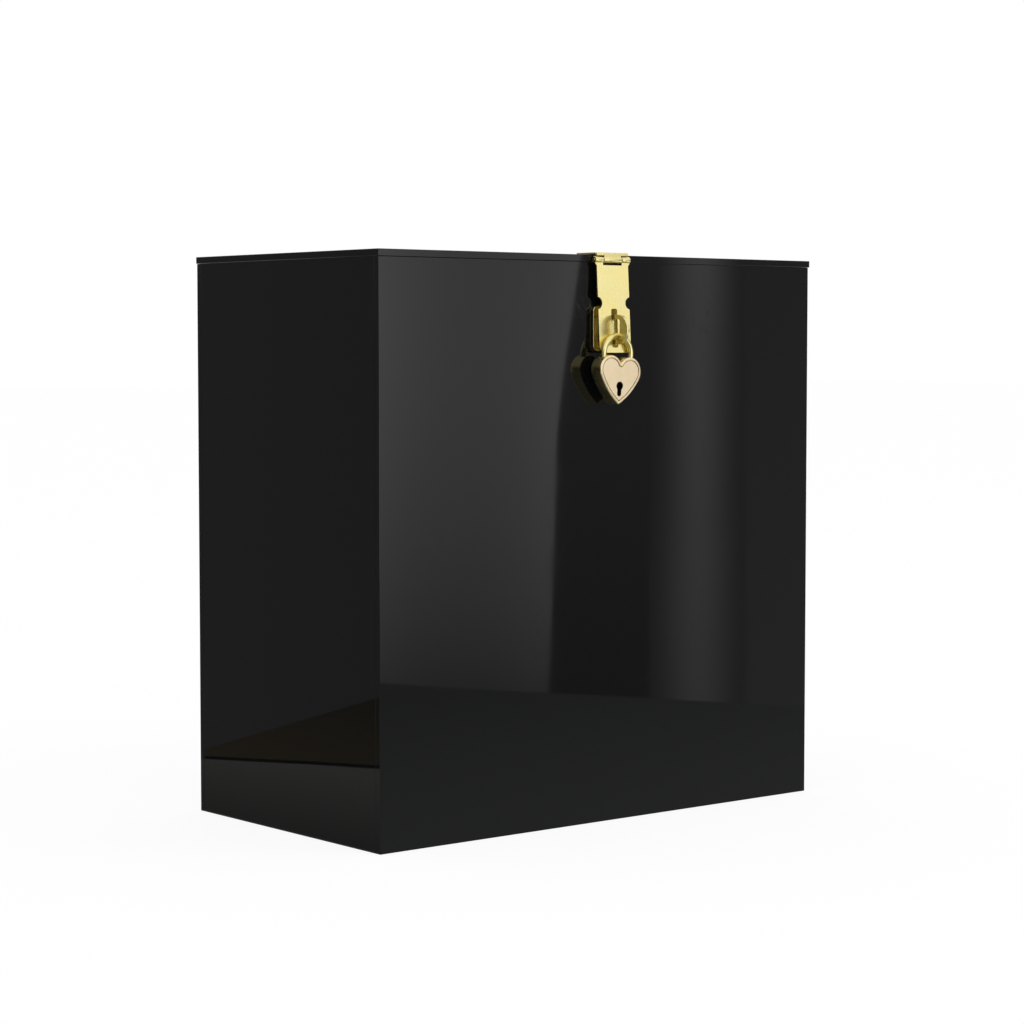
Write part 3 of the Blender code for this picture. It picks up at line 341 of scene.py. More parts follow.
class CardBoxHardware(bpy.types.PropertyGroup):
    """Sizes of the hinges, the hasp, the staple and their screws."""

    edge_round: length_property("Edge round", "Round on the edges of stamped plates", HARDWARE_ROUND)
    leaf_corner: length_property("Leaf corner", "Corner radius of the hinge leaves", LEAF_CORNER)
    hinge_leaf: length_property("Hinge leaf", "Thickness of the back hinges' leaves", HINGE_LEAF_THICKNESS)
    hasp_leaf: length_property("Hasp leaf", "Thickness of the hasp's leaf", HASP_LEAF_THICKNESS)
    strap: length_property("Strap", "Thickness of the hasp's strap", STRAP_THICKNESS)
    strap_tilt: FloatProperty(
        name="Strap tilt", description="Angle between the hanging strap and the front panel",
        default=STRAP_TILT, min=0.0, max=QUARTER, subtype="ANGLE", unit="ROTATION")
    staple: length_property("Staple", "Thickness of the staple's base plate", STAPLE_THICKNESS)
    ear: length_property("Ear", "Thickness of the staple's ear", EAR_THICKNESS)
    screw_head: length_property("Screw head", "Radius of the countersunk heads", SCREW_HEAD_RADIUS)
    nut: length_property("Nut", "Radius of the hexagon nuts over their corners", NUT_RADIUS)


class CardBoxPadlock(bpy.types.PropertyGroup):
    """Sizes of the heart padlock."""

    wire: length_property("Wire", "Radius of the shackle's wire", SHACKLE_WIRE_RADIUS)
    rim: length_property("Rim", "Width of the raised rim round the face", LOCK_RIM)
    rim_bevel: length_property("Rim bevel", "Round on the case's outer edges", LOCK_RIM_BEVEL)
    recess: length_property("Recess", "Depth of the face below the rim", LOCK_RECESS)
    cover: length_property("Cover", "Thickness of the cover plate", LOCK_COVER_THICKNESS)
    keyhole: length_property("Keyhole", "Radius of the keyhole", KEYHOLE_RADIUS)


class CardBoxFinishes(bpy.types.PropertyGroup):
    """Colours and surface qualities."""

    acrylic: colour_property("Acrylic", "Colour of the acrylic sheet", (0.0045, 0.0045, 0.0048))
    acrylic_gloss: share_property("Acrylic roughness", "Roughness of the polished sheet", 0.02)
    gold: colour_property("Gold", "Colour of the gold plate", (0.88, 0.78, 0.37))
    gold_worn: colour_property("Worn gold", "Colour of the gold plate's worn edges", (0.96, 0.90, 0.62))
    gold_rough: share_property("Gold roughness", "Roughness of the gold plate", 0.26)
    pale_gold: colour_property("Pale gold", "Colour of the padlock's face", (0.95, 0.78, 0.53))
    pale_gold_rough: share_property("Face roughness", "Roughness of the padlock's face", 0.38)
    steel: colour_property("Steel", "Colour of the padlock's works", (0.62, 0.60, 0.56))
    steel_rough: share_property("Steel roughness", "Roughness of the padlock's works", 0.3)
    # Near-black inside colour: painted shade in the case's chamber and bores.
    inside: colour_property("Inside", "Colour inside the padlock's case", (0.02, 0.017, 0.012))


class CardBoxStage(bpy.types.PropertyGroup):
    """Light and floor of the stage."""

    floor: colour_property("Floor", "Colour of the floor", (0.95, 0.95, 0.95))
    sky: share_property("Sky", "Soft light from all round", 0.62)
    key: power_property("Key lamp", "Power of the large soft lamp", 8.0)
    fill: power_property("Fill lamp", "Power of the small soft lamp", 1.0)


def finish(key):
    """The material of a finish. The finishes are made first."""
    material = bpy.data.materials.get(FINISH_NAMES[key])
    if material is None:
        raise RuntimeError("Make the finishes first: there is no " + FINISH_NAMES[key])
    return material


# Modelling

class Outline:
    """A line in a bmesh at one height, drawn from point to point and round centres."""

    def __init__(self, mesh_edit, start, *points, height=0.0):
        self.mesh_edit = mesh_edit
        self.height = height
        self.tip = mesh_edit.verts.new((*start, height))
        self.line(*points)

    def line(self, *points):
        for x, y in points:
            self.tip = bmesh.ops.extrude_vert_indiv(self.mesh_edit, verts=[self.tip])["verts"][0]
            self.tip.co = (x, y, self.height)

    def turn(self, x, y, angle, steps):
        last = spin(self.mesh_edit, [self.tip], (x, y, 0.0), (0.0, 0.0, 1.0), angle, steps)
        self.tip = only(last, bmesh.types.BMVert)[0]


def only(geometry, kind):
    return [item for item in geometry if isinstance(item, kind)]


def spin(mesh_edit, geometry, centre, axis, angle, steps, closed=False):
    """Sweep geometry round an axis, and give back its last place."""
    return bmesh.ops.spin(
        mesh_edit, geom=geometry, cent=centre, axis=axis, dvec=(0.0, 0.0, 0.0), angle=angle,
        steps=steps, use_merge=closed, use_duplicate=False)["geom_last"]


def weld(mesh_edit):
    bmesh.ops.remove_doubles(mesh_edit, verts=mesh_edit.verts[:], dist=WELD_DISTANCE)


def mirror_half(mesh_edit, before=frozenset()):
    """Complete the outlines on the right of x = 0, apart from edges that were there before.

    Gives back the outlines' edges.
    """
    edges = [edge for edge in mesh_edit.edges if edge not in before]
    verts = [vert for vert in mesh_edit.verts if not before.intersection(vert.link_edges)]
    bmesh.ops.mirror(
        mesh_edit, geom=verts + edges, matrix=Matrix.Identity(4), merge_dist=WELD_DISTANCE, axis="X")
    return [edge for edge in mesh_edit.edges if edge not in before]


def draw_rectangle(mesh_edit, left, right, bottom, top, corner=0.0, steps=CORNER_STEPS):
    """A rectangle's outline, with round corners where a corner radius is given."""
    pen = Outline(mesh_edit, (right, bottom + corner))
    stops = ((right, top - corner), (left + corner, top), (left, bottom + corner), (right - corner, bottom))
    centres = ((right - corner, top - corner), (left + corner, top - corner),
               (left + corner, bottom + corner), (right - corner, bottom + corner))
    for stop, centre in zip(stops, centres):
        pen.line(stop)
        if corner > 0.0:
            pen.turn(*centre, QUARTER, steps)
    weld(mesh_edit)


def draw_hole(mesh_edit, x, y, radius):
    bmesh.ops.create_circle(
        mesh_edit, cap_ends=False, radius=radius, segments=HOLE_STEPS,
        matrix=Matrix.Translation((x, y, 0.0)))


def fill_outlines(mesh_edit, edges):
    made = bmesh.ops.triangle_fill(
        mesh_edit, use_beauty=True, use_dissolve=True, edges=edges, normal=(0.0, 0.0, 1.0))
    return only(made["geom"], bmesh.types.BMFace)


def lift(mesh_edit, verts, height):
    bmesh.ops.translate(mesh_edit, verts=verts, vec=(0.0, 0.0, height))


def push_faces(mesh_edit, faces, height):
    """Extrude faces by a height, and give back what was made."""
    made = bmesh.ops.extrude_face_region(mesh_edit, geom=faces)["geom"]
    lift(mesh_edit, only(made, bmesh.types.BMVert), height)
    return made


def thicken(mesh_edit, thickness):
    """Fill the outlines a bmesh holds and give them a thickness, centred on z = 0."""
    weld(mesh_edit)
    fill_outlines(mesh_edit, mesh_edit.edges[:])
    lift(mesh_edit, mesh_edit.verts[:], -thickness / 2)
    push_faces(mesh_edit, mesh_edit.faces[:], thickness)
    bmesh.ops.recalc_face_normals(mesh_edit, faces=mesh_edit.faces[:])


def narrow_hole(mesh_edit, x, y, from_radius, to_radius, side):
    """Make a drilled hole a countersunk one: its far ring, on the given side of z = 0, is drawn in."""
    centre = Vector((x, y))
    ring = [vert for vert in mesh_edit.verts if vert.co.z * side > 0.0
            and abs((vert.co.xy - centre).length - from_radius) < RING_DISTANCE]
    share = to_radius / from_radius
    bmesh.ops.scale(
        mesh_edit, vec=(share, share, 1.0), space=Matrix.Translation((-x, -y, 0.0)), verts=ring)


def sharp_edges(mesh_edit):
    return [edge for edge in mesh_edit.edges if edge.is_manifold and edge.calc_face_angle() > CORNER_ANGLE]


def round_edges(mesh_edit, width, edges=None):
    """Round the given edges, or else all the sharp ones."""
    bmesh.ops.bevel(
        mesh_edit, geom=sharp_edges(mesh_edit) if edges is None else edges, offset=width,
        offset_type="OFFSET", segments=ROUND_SEGMENTS, profile=0.5, affect="EDGES", material=-1)


def spin_profile(mesh_edit, steps):
    """Turn a profile, drawn as radius and height, once about the Z axis."""
    upright = Matrix.Rotation(QUARTER, 3, "X")
    bmesh.ops.rotate(mesh_edit, cent=(0.0, 0.0, 0.0), matrix=upright, verts=mesh_edit.verts[:])
    spin(mesh_edit, mesh_edit.verts[:] + mesh_edit.edges[:], (0.0, 0.0, 0.0), (0.0, 0.0, 1.0),
         2 * math.pi, steps, closed=True)
    weld(mesh_edit)
    bmesh.ops.recalc_face_normals(mesh_edit, faces=mesh_edit.faces[:])


def turned_shell(outer, inner, length, edge_round, steps):
    """A rod along Z, centred, with eased ends. It is a tube where an inner radius is given."""
    shell = bmesh.new()
    half = length / 2
    flat = outer - edge_round
    pen = Outline(shell, (inner, -half), (flat, -half))
    pen.turn(flat, -half + edge_round, QUARTER, ROUND_SEGMENTS)
    pen.line((outer, half - edge_round))
    pen.turn(flat, half - edge_round, QUARTER, ROUND_SEGMENTS)
    pen.line((inner, half))
    if inner > 0.0:
        pen.line((inner, -half))
        weld(shell)
    spin_profile(shell, steps)
    return shell


def shade(mesh_edit):
    """Smooth shading on rounds and arcs. Faces along the shell's own axes stay flat."""
    mesh_edit.normal_update()
    for face in mesh_edit.faces:
        face.smooth = max(abs(part) for part in face.normal) < FLAT_FACE
    for edge in mesh_edit.edges:
        edge.smooth = not edge.is_manifold or edge.calc_face_angle() < SMOOTH_ANGLE


def new_object(name, data):
    """An object in the scene. It takes the place of an older one with its name."""
    old = bpy.data.objects.get(name)
    if old is not None:
        bpy.data.objects.remove(old, do_unlink=True)
    made = bpy.data.objects.new(name, data)
    bpy.context.scene.collection.objects.link(made)
    return made


def mesh_object(name, mesh_edit, materials):
    mesh = bpy.data.meshes.new(name)
    mesh_edit.to_mesh(mesh)
    mesh_edit.free()
    for material in materials:
        mesh.materials.append(material)
    return new_object(name, mesh)


def make_piece(name, shells, body, nodes, finishes=("gold",)):
    """Make a piece of closed shells at their places, with its finishes, the main one first.

    The piece rides on its body and stands for its CAD nodes.
    """
    whole = bmesh.new()
    for shell, matrix in shells:
        shade(shell)
        shell.transform(matrix)
        mesh = bpy.data.meshes.new("shell")
        shell.to_mesh(mesh)
        shell.free()
        whole.from_mesh(mesh)
        bpy.data.meshes.remove(mesh)
    piece = mesh_object(name, whole, [finish(key) for key in finishes])
    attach(piece, body)
    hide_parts(*nodes)


def frame_matrix(origin, x_axis, y_axis):
    """A matrix whose local X and Y axes point along the two given directions."""
    x_axis = Vector(x_axis)
    y_axis = Vector(y_axis)
    rotation = Matrix((x_axis, y_axis, x_axis.cross(y_axis))).transposed()
    return Matrix.Translation(origin) @ rotation.to_4x4()


# Places of the hardware

def hasp_axis():
    """The barrel lies in front of the lid's edge, below the leaf on the lid."""
    top = BOX_HEIGHT + SEAT_GAP + HASP_LEAF_THICKNESS + LEAF_INSET
    return Vector((0.0, FRONT - HASP_AXIS_FORWARD, top - HASP_BARREL_RADIUS - HASP_BARREL_DROP))


def back_hinge_axis():
    """The barrel stands outside the back corner, tangent to both leaves."""
    offset = SEAT_GAP + HINGE_BARREL_RADIUS - LEAF_INSET
    return BACK + offset, BOX_HEIGHT + offset


def strap_slot_reaches():
    """Where the slot starts and ends, from the pin."""
    top = STAPLE_BELOW_PIN + EAR_LOWERED - EAR_HEIGHT / 2 - SLOT_ABOVE_EAR
    ear_forward = EAR_REACH - EAR_HEIGHT / 2 - HASP_AXIS_FORWARD
    swing = math.hypot(ear_forward, STAPLE_BELOW_PIN + EAR_LOWERED) + EAR_HEIGHT / 2
    return top, swing + SLOT_BELOW_EAR


def strap_length():
    return strap_slot_reaches()[1] + STRAP_END_WALL


def staple_middle():
    return hasp_axis().z - STAPLE_BELOW_PIN


def ear_heights():
    """Heights of the ear's lower and upper edge."""
    middle = staple_middle() - EAR_LOWERED
    return middle - EAR_HEIGHT / 2, middle + EAR_HEIGHT / 2


def shackle_place():
    """Middle of the shackle's wire in the ear's hole, as a reach and a height."""
    strap_front = HASP_AXIS_FORWARD + STRAP_PROUD + strap_length() * math.sin(STRAP_TILT)
    forward = strap_front + SEAT_GAP + SHACKLE_WIRE_RADIUS
    height = ear_heights()[0] + EAR_WALL_BELOW + SEAT_GAP + SHACKLE_WIRE_RADIUS
    return forward, height


def lock_frame():
    """Local X to the right, local Y to the back and local Z up the padlock, which hangs tilted."""
    forward, height = shackle_place()
    place = Matrix.Translation((LOCK_SIDE, FRONT - forward, height))
    return place @ Matrix.Rotation(LOCK_TILT, 4, "Y")


def lock_plate_frame(depth):
    """The padlock's outline plane, at a depth along its local Y, with local Z to the front."""
    return lock_frame() @ Matrix.Translation((0.0, depth, 0.0)) @ Matrix.Rotation(QUARTER, 4, "X")


def heart_lobe_centre():
    return HEART_HALF_WIDTH - HEART_LOBE_RADIUS, -LOCK_TOP_DROP - HEART_LOBE_RADIUS


def heart_side_centre():
    """Centre of the long arc on the heart's right side."""
    swing = HEART_SIDE_RADIUS - HEART_LOBE_RADIUS
    lobe_x, lobe_z = heart_lobe_centre()
    return lobe_x - swing * math.cos(HEART_SIDE_START), lobe_z + swing * math.sin(HEART_SIDE_START)


def heart_tip_height(inset=0.0):
    """Height of the rounded tip in the padlock's frame."""
    side_x, side_z = heart_side_centre()
    round_tip = max(HEART_TIP_RADIUS - inset, 0.0)
    reach = HEART_SIDE_RADIUS - inset - round_tip
    return side_z - math.sqrt(reach ** 2 - side_x ** 2) - round_tip


def shackle_heights():
    """Heights of the toe's end, the heel's end and the case's top at the legs."""
    lobe_x, lobe_z = heart_lobe_centre()
    surface = lobe_z + math.sqrt(HEART_LOBE_RADIUS ** 2 - (SHACKLE_RADIUS - lobe_x) ** 2)
    return surface - SHACKLE_TOE_DEPTH, surface - SHACKLE_HEEL_DEPTH, surface


# Screws and nuts

def head_faces(shell):
    return [face for face in shell.faces
            if face.normal.z > FLAT_FACE and face.calc_center_median().z > -2 * SCREW_HEAD_SINK]


def screw_shell(leaf_thickness, length):
    """A countersunk screw with a slotted head, along local -Z from the leaf's face."""
    head = bpy.context.scene.card_box_hardware.screw_head
    shell = bmesh.new()
    Outline(
        shell, (0.0, -SCREW_HEAD_SINK), (head - SCREW_HEAD_SINK, -SCREW_HEAD_SINK),
        (head, -2 * SCREW_HEAD_SINK), (SCREW_RADIUS, -leaf_thickness),
        (SCREW_RADIUS, -length + SCREW_TIP_TAPER), (SCREW_RADIUS - SCREW_TIP_TAPER, -length),
        (0.0, -length))
    spin_profile(shell, HOLE_STEPS)
    cut_drive(shell)
    return shell


def cut_drive(shell):
    """Sink a strip across the head's top face, a little shorter at its bottom."""
    half = SCREW_DRIVE_WIDTH / 2
    for side in (-half, half):
        top = head_faces(shell)
        edges = {edge for face in top for edge in face.edges}
        verts = {vert for face in top for vert in face.verts}
        bmesh.ops.bisect_plane(
            shell, geom=top + list(edges) + list(verts), dist=WELD_DISTANCE, plane_co=(0.0, side, 0.0),
            plane_no=(0.0, 1.0, 0.0))
    strip = [face for face in head_faces(shell) if abs(face.calc_center_median().y) < half]
    lowered = only(push_faces(shell, strip, -SCREW_DRIVE_DEPTH), bmesh.types.BMVert)
    bmesh.ops.scale(shell, verts=lowered, vec=(SCREW_DRIVE_TAPER, 1.0, 1.0))


def nut_shell():
    """A hexagon nut, centred, with eased edges."""
    shell = bmesh.new()
    radius = bpy.context.scene.card_box_hardware.nut
    bmesh.ops.create_circle(shell, cap_ends=False, radius=radius, segments=6)
    draw_hole(shell, 0.0, 0.0, SCREW_RADIUS + SCREW_CLEARANCE / 2)
    thicken(shell, NUT_HEIGHT)
    round_edges(shell, NUT_ROUND)
    return shell


def make_fasteners(name, places, direction, leaf_thickness, body):
    """One piece with all the screws of a leaf or a pair of leaves, and one with their nuts."""
    x_axis = Vector((1.0, 0.0, 0.0))
    y_axis = x_axis.cross(Vector(direction))
    spots = [frame_matrix(place, x_axis, y_axis) for place in places]
    nut_top = leaf_thickness + SEAT_GAP + SHEET + SEAT_GAP
    drop = Matrix.Translation((0.0, 0.0, -nut_top - NUT_HEIGHT / 2))
    length = nut_top + NUT_HEIGHT + SCREW_TIP
    screws = [(screw_shell(leaf_thickness, length), spot) for spot in spots]
    nuts = [(nut_shell(), spot @ drop) for spot in spots]
    for kind, shells in (("screw", screws), ("nut", nuts)):
        nodes = [f"{name}_{kind}_{number}" for number in range(1, len(places) + 1)]
        make_piece(f"{name}_{kind}s", shells, body, nodes)


def hinge_screw_places():
    """Where the back hinges' screws start, on the lid leaves and on the wall leaves."""
    axis_y, axis_z = back_hinge_axis()
    face = SEAT_GAP + HINGE_LEAF_THICKNESS
    sides = [centre * HINGE_SPREAD / 2 + side * HINGE_SCREW_SPREAD / 2
             for centre in (-1, 1) for side in (-1, 1)]
    lid_places = [(x, axis_y - HINGE_SCREW_REACH, BOX_HEIGHT + face) for x in sides]
    wall_places = [(x, BACK + face, axis_z - HINGE_SCREW_REACH) for x in sides]
    return lid_places, wall_places


def hasp_leaf_screw_places():
    reach = hasp_axis().y + HASP_LEAF_SCREW_REACH
    height = BOX_HEIGHT + SEAT_GAP + HASP_LEAF_THICKNESS
    return [(side * HASP_LEAF_SCREW_SPREAD / 2, reach, height) for side in (-1, 1)]


def staple_screw_places():
    face = FRONT - SEAT_GAP - STAPLE_THICKNESS
    return [(side * STAPLE_SCREW_SPREAD / 2, face, staple_middle()) for side in (-1, 1)]


# Leaves

def knuckles(spans, matrix, outer, pin):
    """Tubes along the local X axis, one for each span, with their places."""
    return [(turned_shell(outer, pin + PIN_CLEARANCE, high - low, KNUCKLE_ROUND, BARREL_STEPS),
             matrix @ Matrix.Translation(((low + high) / 2, 0.0, 0.0)) @ ALONG_X)
            for low, high in spans]


def outer_spans(width, middle):
    inner = middle / 2 + KNUCKLE_GAP
    return [(-width / 2, -inner), (inner, width / 2)]


def hinge_pin(name, radius, length, place, body, node):
    shell = turned_shell(radius, 0.0, length, PIN_END_ROUND, HOLE_STEPS)
    make_piece(name, [(shell, Matrix.Translation(place) @ ALONG_X)], body, [node])


def draw_leaf(mesh_edit, width, length, start, middle, has_middle):
    """A leaf's outline, with a neck for each knuckle and round outer corners.

    A start of zero leaves the front edge straight, without necks.
    """
    corner = bpy.context.scene.card_box_hardware.leaf_corner
    edge = width / 2 - NECK_INSET
    if start == 0.0:
        pen = Outline(mesh_edit, (0.0, 0.0), (edge, 0.0))
    elif has_middle:
        neck = middle / 2 - NECK_INSET
        pen = Outline(mesh_edit, (0.0, 0.0), (neck, 0.0), (neck, start), (edge, start))
    else:
        neck = middle / 2 + KNUCKLE_GAP + NECK_INSET
        pen = Outline(mesh_edit, (0.0, start), (neck, start), (neck, 0.0), (edge, 0.0))
    pen.line((edge, length - corner))
    pen.turn(edge - corner, length - corner, QUARTER, CORNER_STEPS)
    pen.line((0.0, length))
    mirror_half(mesh_edit)


def leaf_bend(width, top, bottom, inset):
    """The leaf's front edge, bent down: a block from the plate's top to a height above the axis."""
    shell = bmesh.new()
    draw_rectangle(
        shell, -HASP_BEND_FORWARD + inset, HASP_BEND_BACK - inset, -top + LEAF_INSET + inset, -bottom,
        HASP_BEND_CORNER)
    thicken(shell, width - 4 * NECK_INSET)
    round_edges(shell, bpy.context.scene.card_box_hardware.edge_round)
    return shell


def leaf_shells(sizes, has_middle, matrix, screw_reach, screw_spread, head_side, drop=0.0):
    """A leaf with its knuckles. Local X is the pin's axis, and the plate runs along local +Y."""
    width, length, thickness, middle, barrel, pin = sizes
    hardware = bpy.context.scene.card_box_hardware
    hole = hardware.screw_head + HEAD_CLEARANCE
    sides = (-screw_spread / 2, screw_spread / 2)
    plate = bmesh.new()
    draw_leaf(plate, width, length, 0.0 if drop > 0.0 else barrel + KNUCKLE_GAP, middle, has_middle)
    for x in sides:
        draw_hole(plate, x, screw_reach, hole)
    thicken(plate, thickness)
    for x in sides:
        narrow_hole(plate, x, screw_reach, hole, SCREW_RADIUS + SCREW_CLEARANCE, -head_side)
    round_edges(plate, hardware.edge_round)
    sink = Matrix.Translation((0.0, 0.0, -barrel - drop + LEAF_INSET + thickness / 2))
    shells = [(plate, matrix @ sink)]
    if drop > 0.0:
        across = matrix @ frame_matrix((0.0, 0.0, 0.0), (0, 1, 0), (0, 0, 1))
        lip = barrel + HASP_LIP_LIFT
        for span, bottom, inset in ((width, lip, 3 * LEAF_INSET), (middle, 0.0, LEAF_INSET)):
            shells.append((leaf_bend(span, barrel + drop, bottom, inset), across))
    spans = [(-middle / 2, middle / 2)] if has_middle else outer_spans(width, middle)
    return shells + knuckles(spans, matrix, barrel, pin)


# Padlock outlines

def draw_heart(mesh_edit, inset, height):
    """The heart's outline at a height, drawn in by an inset all round. Gives back its edges."""
    before = set(mesh_edit.edges)
    lobe_x, lobe_z = heart_lobe_centre()
    side_x, side_z = heart_side_centre()
    dip_z = lobe_z + math.sqrt(HEART_LOBE_RADIUS ** 2 - lobe_x ** 2)
    to_dip = math.atan2(dip_z - lobe_z, -lobe_x)
    pen = Outline(mesh_edit, (0.0, dip_z - inset), height=height)
    if inset > 0.0:
        pen.turn(0.0, dip_z, to_dip - QUARTER, HEART_DIP_STEPS)
    pen.turn(lobe_x, lobe_z, -HEART_SIDE_START - to_dip, HEART_LOBE_STEPS)
    round_tip = max(HEART_TIP_RADIUS - inset, 0.0)
    tip_z = heart_tip_height(inset) + round_tip
    end = math.atan2(tip_z - side_z, -side_x)
    pen.turn(side_x, side_z, end + HEART_SIDE_START, HEART_SIDE_STEPS)
    if round_tip > 0.0:
        pen.turn(0.0, tip_z, -QUARTER - end, CORNER_STEPS)
    return mirror_half(mesh_edit, before)


def draw_keyhole(mesh_edit, radius):
    """The keyhole's outline: a round hole with a tail under it."""
    before = set(mesh_edit.edges)
    tip = heart_tip_height()
    tail = KEYHOLE_TAIL_WIDTH / 2
    centre = tip + KEYHOLE_ABOVE_TIP
    end = tip + KEYHOLE_TAIL_ABOVE_TIP + tail
    pen = Outline(mesh_edit, (0.0, centre + radius))
    pen.turn(0.0, centre, math.asin(tail / radius) - math.pi, KEYHOLE_STEPS)
    pen.line((tail, end))
    pen.turn(0.0, end, -QUARTER, KEYHOLE_TAIL_STEPS)
    mirror_half(mesh_edit, before)


def drop_walls(mesh_edit, edges, depth):
    """Walls from a closed line of edges down to a new one. Gives back the new edges and the walls."""
    made = bmesh.ops.extrude_edge_only(mesh_edit, edges=edges)["geom"]
    lift(mesh_edit, only(made, bmesh.types.BMVert), -depth)
    return only(made, bmesh.types.BMEdge), only(made, bmesh.types.BMFace)


# Node groups

def connect(tree, socket, value):
    """Feed a socket from another socket, or set its value. Colours come without their alpha."""
    if isinstance(value, bpy.types.NodeSocket):
        tree.links.new(value, socket)
    elif socket.type == "RGBA":
        socket.default_value = (*value, 1.0)
    else:
        socket.default_value = value


def add_node(tree, kind, inputs=None, **settings):
    node = tree.nodes.new(kind)
    for name, value in settings.items():
        setattr(node, name, value)
    for name, value in (inputs or {}).items():
        connect(tree, node.inputs[name], value)
    return node


def maths(tree, operation, first, second=0.0, third=0.0):
    return add_node(
        tree, "ShaderNodeMath", {0: first, 1: second, 2: third}, operation=operation).outputs[0]


def map_value(tree, value, low, high, to_low=0.0, to_high=1.0, shape="SMOOTHSTEP"):
    """A value mapped from one range to another, and held at its ends."""
    return add_node(
        tree, "ShaderNodeMapRange",
        {"Value": value, "From Min": low, "From Max": high, "To Min": to_low, "To Max": to_high},
        interpolation_type=shape).outputs["Result"]


def mix_colour(tree, share, first, second):
    return add_node(
        tree, "ShaderNodeMix", {0: share, 6: first, 7: second}, data_type="RGBA").outputs[2]


def mix_value(tree, share, first, second):
    return add_node(
        tree, "ShaderNodeMix", {0: share, 2: first, 3: second}, data_type="FLOAT").outputs[0]


def noise(tree, place, scale, detail, roughness=0.5):
    return add_node(
        tree, "ShaderNodeTexNoise",
        {"Vector": place, "Scale": scale, "Detail": detail, "Roughness": roughness}).outputs["Fac"]


def stretch(tree, place, shares):
    return add_node(
        tree, "ShaderNodeVectorMath", {0: place, 1: shares}, operation="MULTIPLY").outputs[0]


def new_group(name, result, **inputs):
    """A node group that turns a place and some other inputs into one value.

    Gives back the group, the sockets with what it is given and those that take its result.
    """
    group = bpy.data.node_groups.new(name, "ShaderNodeTree")
    sockets = group.interface
    sockets.new_socket(name="Place", in_out="INPUT", socket_type="NodeSocketVector")
    for label, value in inputs.items():
        kind = "NodeSocketVector" if isinstance(value, tuple) else "NodeSocketFloat"
        socket = sockets.new_socket(name=label.capitalize(), in_out="INPUT", socket_type=kind)
        socket.default_value = value
    sockets.new_socket(name=result, in_out="OUTPUT", socket_type="NodeSocketFloat")
    given = group.nodes.new("NodeGroupInput").outputs
    return group, given, group.nodes.new("NodeGroupOutput").inputs


def build_scratch_group():
    """Thin broken hairlines that run along one direction."""
    group, given, results = new_group(
        "Hairlines", "Mask", turn=(0.0, 0.0, 0.0), density=60.0, thinness=0.006)
    turned = add_node(
        group, "ShaderNodeVectorRotate", {"Vector": given["Place"], "Rotation": given["Turn"]},
        rotation_type="EULER_XYZ").outputs[0]
    lines = noise(group, stretch(group, turned, (0.05, 1.0, 1.0)), given["Density"], detail=1.0)
    off_middle = maths(group, "ABSOLUTE", maths(group, "SUBTRACT", lines, 0.5))
    line = maths(group, "LESS_THAN", off_middle, given["Thinness"])
    breaks = noise(group, turned, scale=37.0, detail=2.0)
    connect(group, results[0], maths(group, "MULTIPLY", line, map_value(group, breaks, low=0.58, high=0.68)))
    return group


def build_speck_group():
    """Separate small specks, such as dust or pits."""
    group, given, results = new_group("Specks", "Mask", density=300.0, size=0.1, share=0.1)
    cells = add_node(
        group, "ShaderNodeTexVoronoi", {"Vector": given["Place"], "Scale": given["Density"]}, feature="F1")
    near = maths(group, "LESS_THAN", cells.outputs["Distance"], given["Size"])
    chance = add_node(group, "ShaderNodeSeparateColor", {"Color": cells.outputs["Color"]})
    chosen = maths(group, "LESS_THAN", chance.outputs[0], given["Share"])
    connect(group, results[0], maths(group, "MULTIPLY", near, chosen))
    return group


def build_grain_group():
    """Fine brushing: noise drawn out along one direction."""
    group, given, results = new_group("Brushed grain", "Value", stretch=(1.0, 0.04, 1.0), scale=3000.0)
    drawn_out = stretch(group, given["Place"], given["Stretch"])
    connect(group, results[0], noise(group, drawn_out, given["Scale"], detail=3.0, roughness=0.6))
    return group


def build_mottle_group():
    """Broad, soft unevenness, spread over the whole range from 0 to 1."""
    group, given, results = new_group("Mottling", "Value", scale=100.0, detail=2.0)
    cloud = noise(group, given["Place"], given["Scale"], given["Detail"])
    connect(group, results[0], map_value(group, cloud, low=0.3, high=0.7))
    return group


def build_wear_group():
    """Worn edges: where the rounded normal leaves the true one, broken up by noise."""
    group, given, results = new_group("Worn edges", "Mask", reach=0.0002, breaks=900.0)
    rounded = add_node(group, "ShaderNodeBevel", {"Radius": given["Reach"]}, samples=4)
    surface = add_node(group, "ShaderNodeNewGeometry")
    likeness = add_node(
        group, "ShaderNodeVectorMath", {0: rounded.outputs[0], 1: surface.outputs["Normal"]},
        operation="DOT_PRODUCT").outputs["Value"]
    edge = map_value(group, likeness, low=0.995, high=0.93)
    breaks = noise(group, given["Place"], given["Breaks"], detail=2.0)
    connect(group, results[0], maths(group, "MULTIPLY", edge, map_value(group, breaks, low=0.35, high=0.6)))
    return group


GROUP_BUILDERS = {
    "Hairlines": build_scratch_group,
    "Specks": build_speck_group,
    "Brushed grain": build_grain_group,
    "Mottling": build_mottle_group,
    "Worn edges": build_wear_group,
}


def use_group(tree, name, place, **inputs):
    group = bpy.data.node_groups.get(name) or GROUP_BUILDERS[name]()
    node = add_node(tree, "ShaderNodeGroup", node_tree=group)
    connect(tree, node.inputs["Place"], place)
    for label, value in inputs.items():
        connect(tree, node.inputs[label.capitalize()], value)
    return node.outputs[0]


def fresh_material(name):
    material = bpy.data.materials.get(name) or bpy.data.materials.new(name)
    material.use_nodes = True
    material.node_tree.nodes.clear()
    return material, material.node_tree


def show(tree, shader, kind="ShaderNodeOutputMaterial"):
    """Send a shader to a new output node."""
    tree.links.new(shader.outputs[0], add_node(tree, kind).inputs["Surface"])


# Finishes

